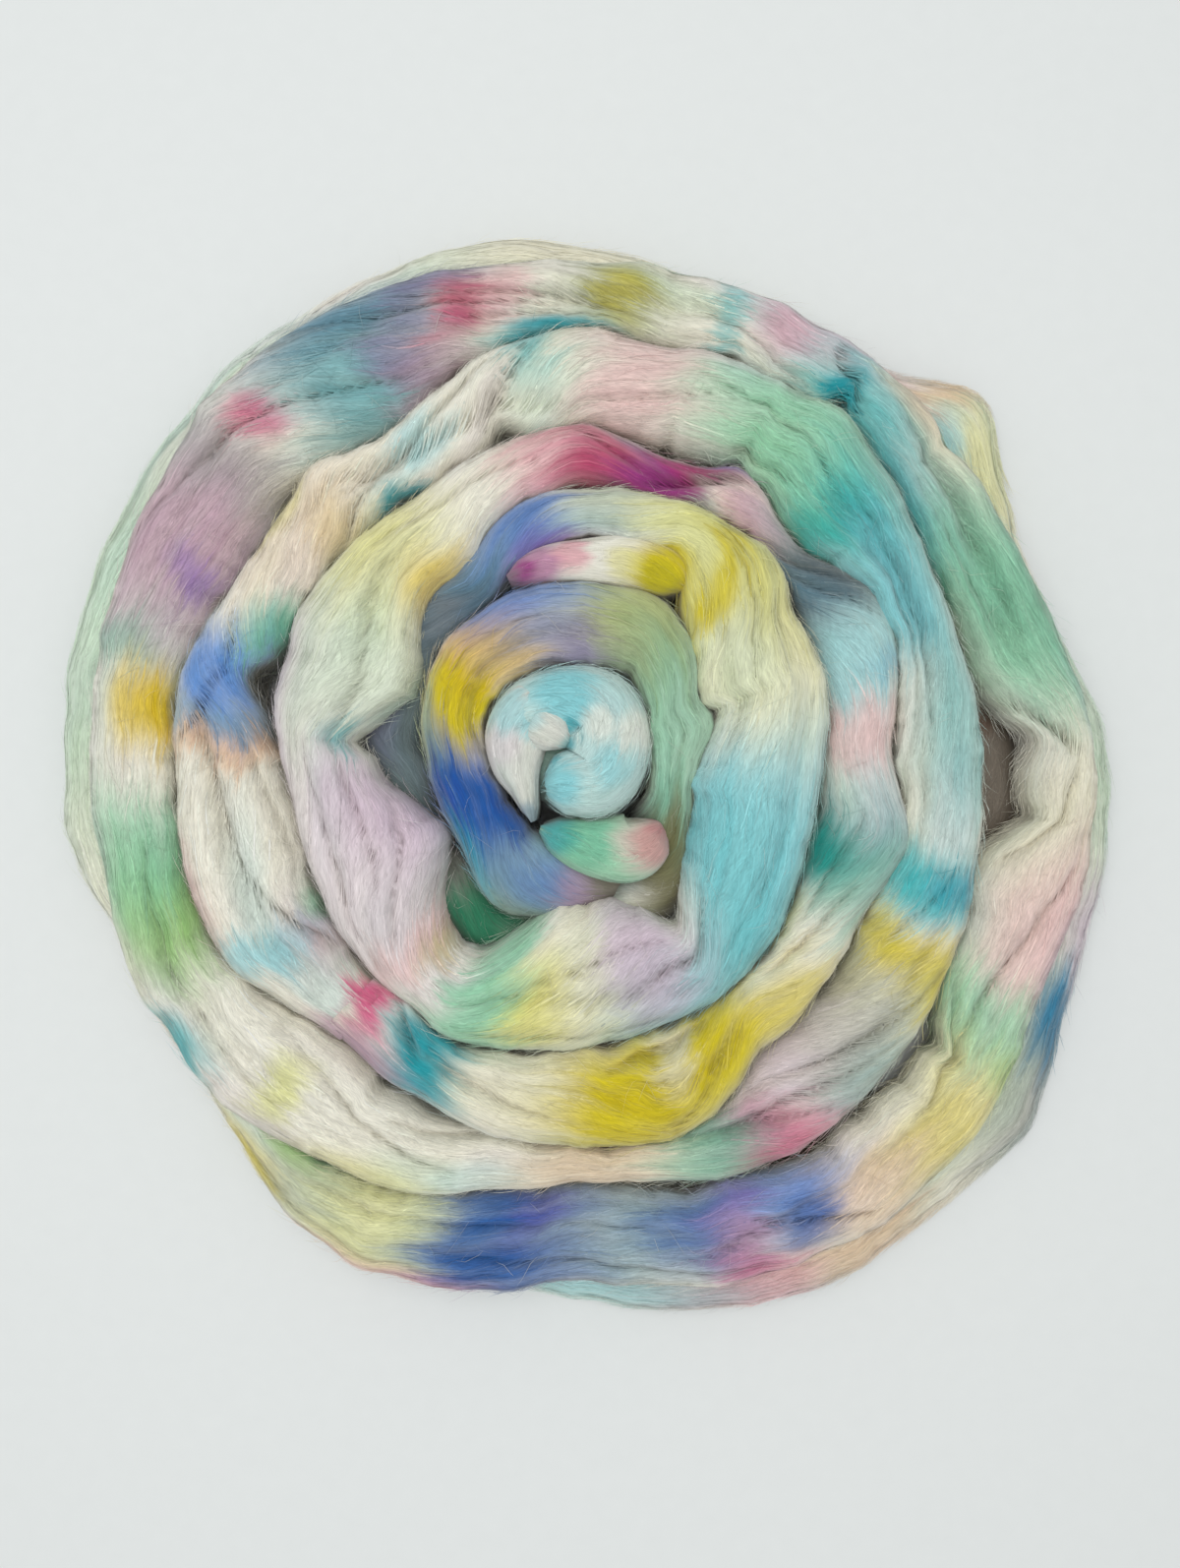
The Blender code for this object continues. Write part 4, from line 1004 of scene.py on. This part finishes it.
# Sizes are in mm. lift is how far a ribbon stands off the strand, and wander how far it strays
# across, in strand halves. colourShift moves the dye along a ribbon. pale is the most undyed wool
# in it, edgeShare how much it keeps to the edges, and paintedShadeShare how much of the painted crease
# shade it takes.
lockLook = {
    "knots": 7, "length": (16, 46), "width": (0.25, 0.75), "lift": (0.05, 0.4), "wander": 0.05,
    "colourShift": 2.5, "shade": 0.075, "pale": 0.06, "edgeShare": 0, "paintedShadeShare": 1.0,
}
foldLockLook = {**lockLook, "length": (8, 26), "wander": 0.08, "lift": (0.1, 0.4)}
foldLocks = {"knob": 1300, "knobEnd": 600, "knobCurl": 350}  # and 500 on each other fold
inner, outer = sheaves["innerTurns"], sheaves["outerTurns"]
fibreRibbons("locksInner", inner, lockLook, 10000, 3, wool)
fibreRibbons("locksOuterA", outer, lockLook, 12000, 5, wool)
fibreRibbons("locksOuterB", outer, lockLook, 12000, 7, wool)
for n, name in enumerate(folds):
    fibreRibbons("locks_" + name, sheaves[name], foldLockLook, foldLocks.get(name, 500), 11 + n, wool)
print("locks of fibre combed on")

# Thin wool that spreads past the nest's outer edge: the hours it starts and ends at, how far out
# it goes in mm, and its share of the wisps
wisps = (
    (66.2, 67.6, 3, 1), (67.6, 69.2, 3, 1.2), (69.2, 71.3, 5, 2.4), (71.3, 73, 3, 1),
    (73, 73.8, 5, 1.6), (73.8, 75.2, 4, 1.6), (75.2, 76, 4, 0.8), (76, 76.9, 5, 1.6),
    (76.9, 78.3, 4, 1.4),
)

# fly is how far a loose end lifts in mm, and skyward how far it turns its broad side up
flyLook = {
    "knots": 4, "length": (5, 14), "width": (0.10, 0.18), "lift": (0.2, 0.8), "wander": 0.14,
    "colourShift": 4, "shade": 0.08, "pale": 0.45, "edgeShare": 0.6, "paintedShadeShare": 1.0,
    "fly": 3.0, "skyward": 1.5,
}
# a soft fringe along every edge, and wisps that leave the nest
fuzzLook = {
    **flyLook, "length": (5, 15), "width": (0.12, 0.2), "fly": 4.5, "edgeShare": 1.0, "paintedShadeShare": 0.35,
}
wispLook = {
    **fuzzLook, "length": (14, 40), "width": (0.12, 0.3), "fly": 1.5, "paintedShadeShare": 0.0, "skyward": 9.0,
    "wisps": wisps,
}
knobFlyLook = {**flyLook, "fly": 2.5, "length": (4, 11)}
fibreRibbons("fliesInner", inner, flyLook, 4600, 21, wool)
fibreRibbons("fliesOuter", outer, flyLook, 6600, 23, wool)
fibreRibbons("fuzzInner", inner, fuzzLook, 8500, 27, wool)
fibreRibbons("fuzzOuter", outer, fuzzLook, 14500, 29, wool)
fibreRibbons("wispsOuter", outer, wispLook, 6000, 31, wool)
fibreRibbons("fliesKnob", sheaves["knob"], knobFlyLook, 1100, 25, wool)
print("loose fibres raised")

# Backdrop paper, light and setting
studio = {
    "paper": "E6E9E8",
    "paperGrain": (0.985, 1.015),
    "paperGrainScale": 900.0,
    "paperRoughness": 0.85,
    "paperSpecular": 0.2,
    "floorSize": 8.0,
    "floorLevel": -0.0004,  # just under the wool
    "worldStrength": 0.60,
    "worldColour": "F4F6F6",
    "softboxSize": 1.6,
    "softboxPlace": (-0.16, 0.14, 1.5),
    "softboxTilt": (-5.3, -6.1, 0),  # degrees
    "softboxPower": 12.6,
    "cameraPlace": (1.3, -2.9, 515.0),  # mm, straight above
    "viewHeight": 637.6,  # mm of the photograph's height, at viewLevel above the floor
    "viewLevel": 35.0,
    "sensorHeight": 24,
}


def backdropPaper():
    material, tree, shader = newMaterial("mattPaper")
    grain = addNode(tree, "TexNoise", {}, {"Scale": studio["paperGrainScale"], "Detail": 2.0})
    low, high = studio["paperGrain"]
    tint = addNode(tree, "MapRange", {}, {"To Min": low, "To Max": high}, {"Value": (grain, "Fac")})
    pale = {"Vector": linear(studio["paper"])}
    paper = addNode(tree, "VectorMath", {"operation": "SCALE"}, pale, {"Scale": (tint, "Result")})
    tree.links.new(paper.outputs["Vector"], shader.inputs["Base Color"])
    shader.inputs["Roughness"].default_value = studio["paperRoughness"]
    shader.inputs["Specular IOR Level"].default_value = studio["paperSpecular"]
    return material


side = studio["floorSize"] / 2
corners = [(x * side, y * side, studio["floorLevel"]) for x, y in ((-1, -1), (1, -1), (1, 1), (-1, 1))]
floorMesh = bpy.data.meshes.new("paperFloor")
floorMesh.from_pydata(corners, [], [(0, 1, 2, 3)])
floorMesh.materials.append(backdropPaper())
floor = addObject("paperFloor", floorMesh)

world = bpy.data.worlds.new("paleRoom")
world.use_nodes = True
background = world.node_tree.nodes["Background"]
background.inputs["Color"].default_value = (*linear(studio["worldColour"]), 1)
background.inputs["Strength"].default_value = studio["worldStrength"]
bpy.context.scene.world = world

softbox = bpy.data.lights.new("softbox", "AREA")
softbox.shape = "DISK"
softbox.size = studio["softboxSize"]
softbox.energy = studio["softboxPower"]
softboxObject = addObject("softbox", softbox)
softboxObject.location = studio["softboxPlace"]
softboxObject.rotation_euler = [math.radians(v) for v in studio["softboxTilt"]]

camera = bpy.data.cameras.new("overheadCamera")
camera.sensor_fit = "VERTICAL"
camera.sensor_height = studio["sensorHeight"]
cameraDistance = studio["cameraPlace"][2] - studio["viewLevel"]
camera.lens = studio["sensorHeight"] * cameraDistance / studio["viewHeight"]
cameraObject = addObject("overheadCamera", camera)
cameraObject.location = [v * mm for v in studio["cameraPlace"]]
bpy.context.scene.camera = cameraObject
bpy.context.scene.view_settings.view_transform = "Standard"
print("studio set")
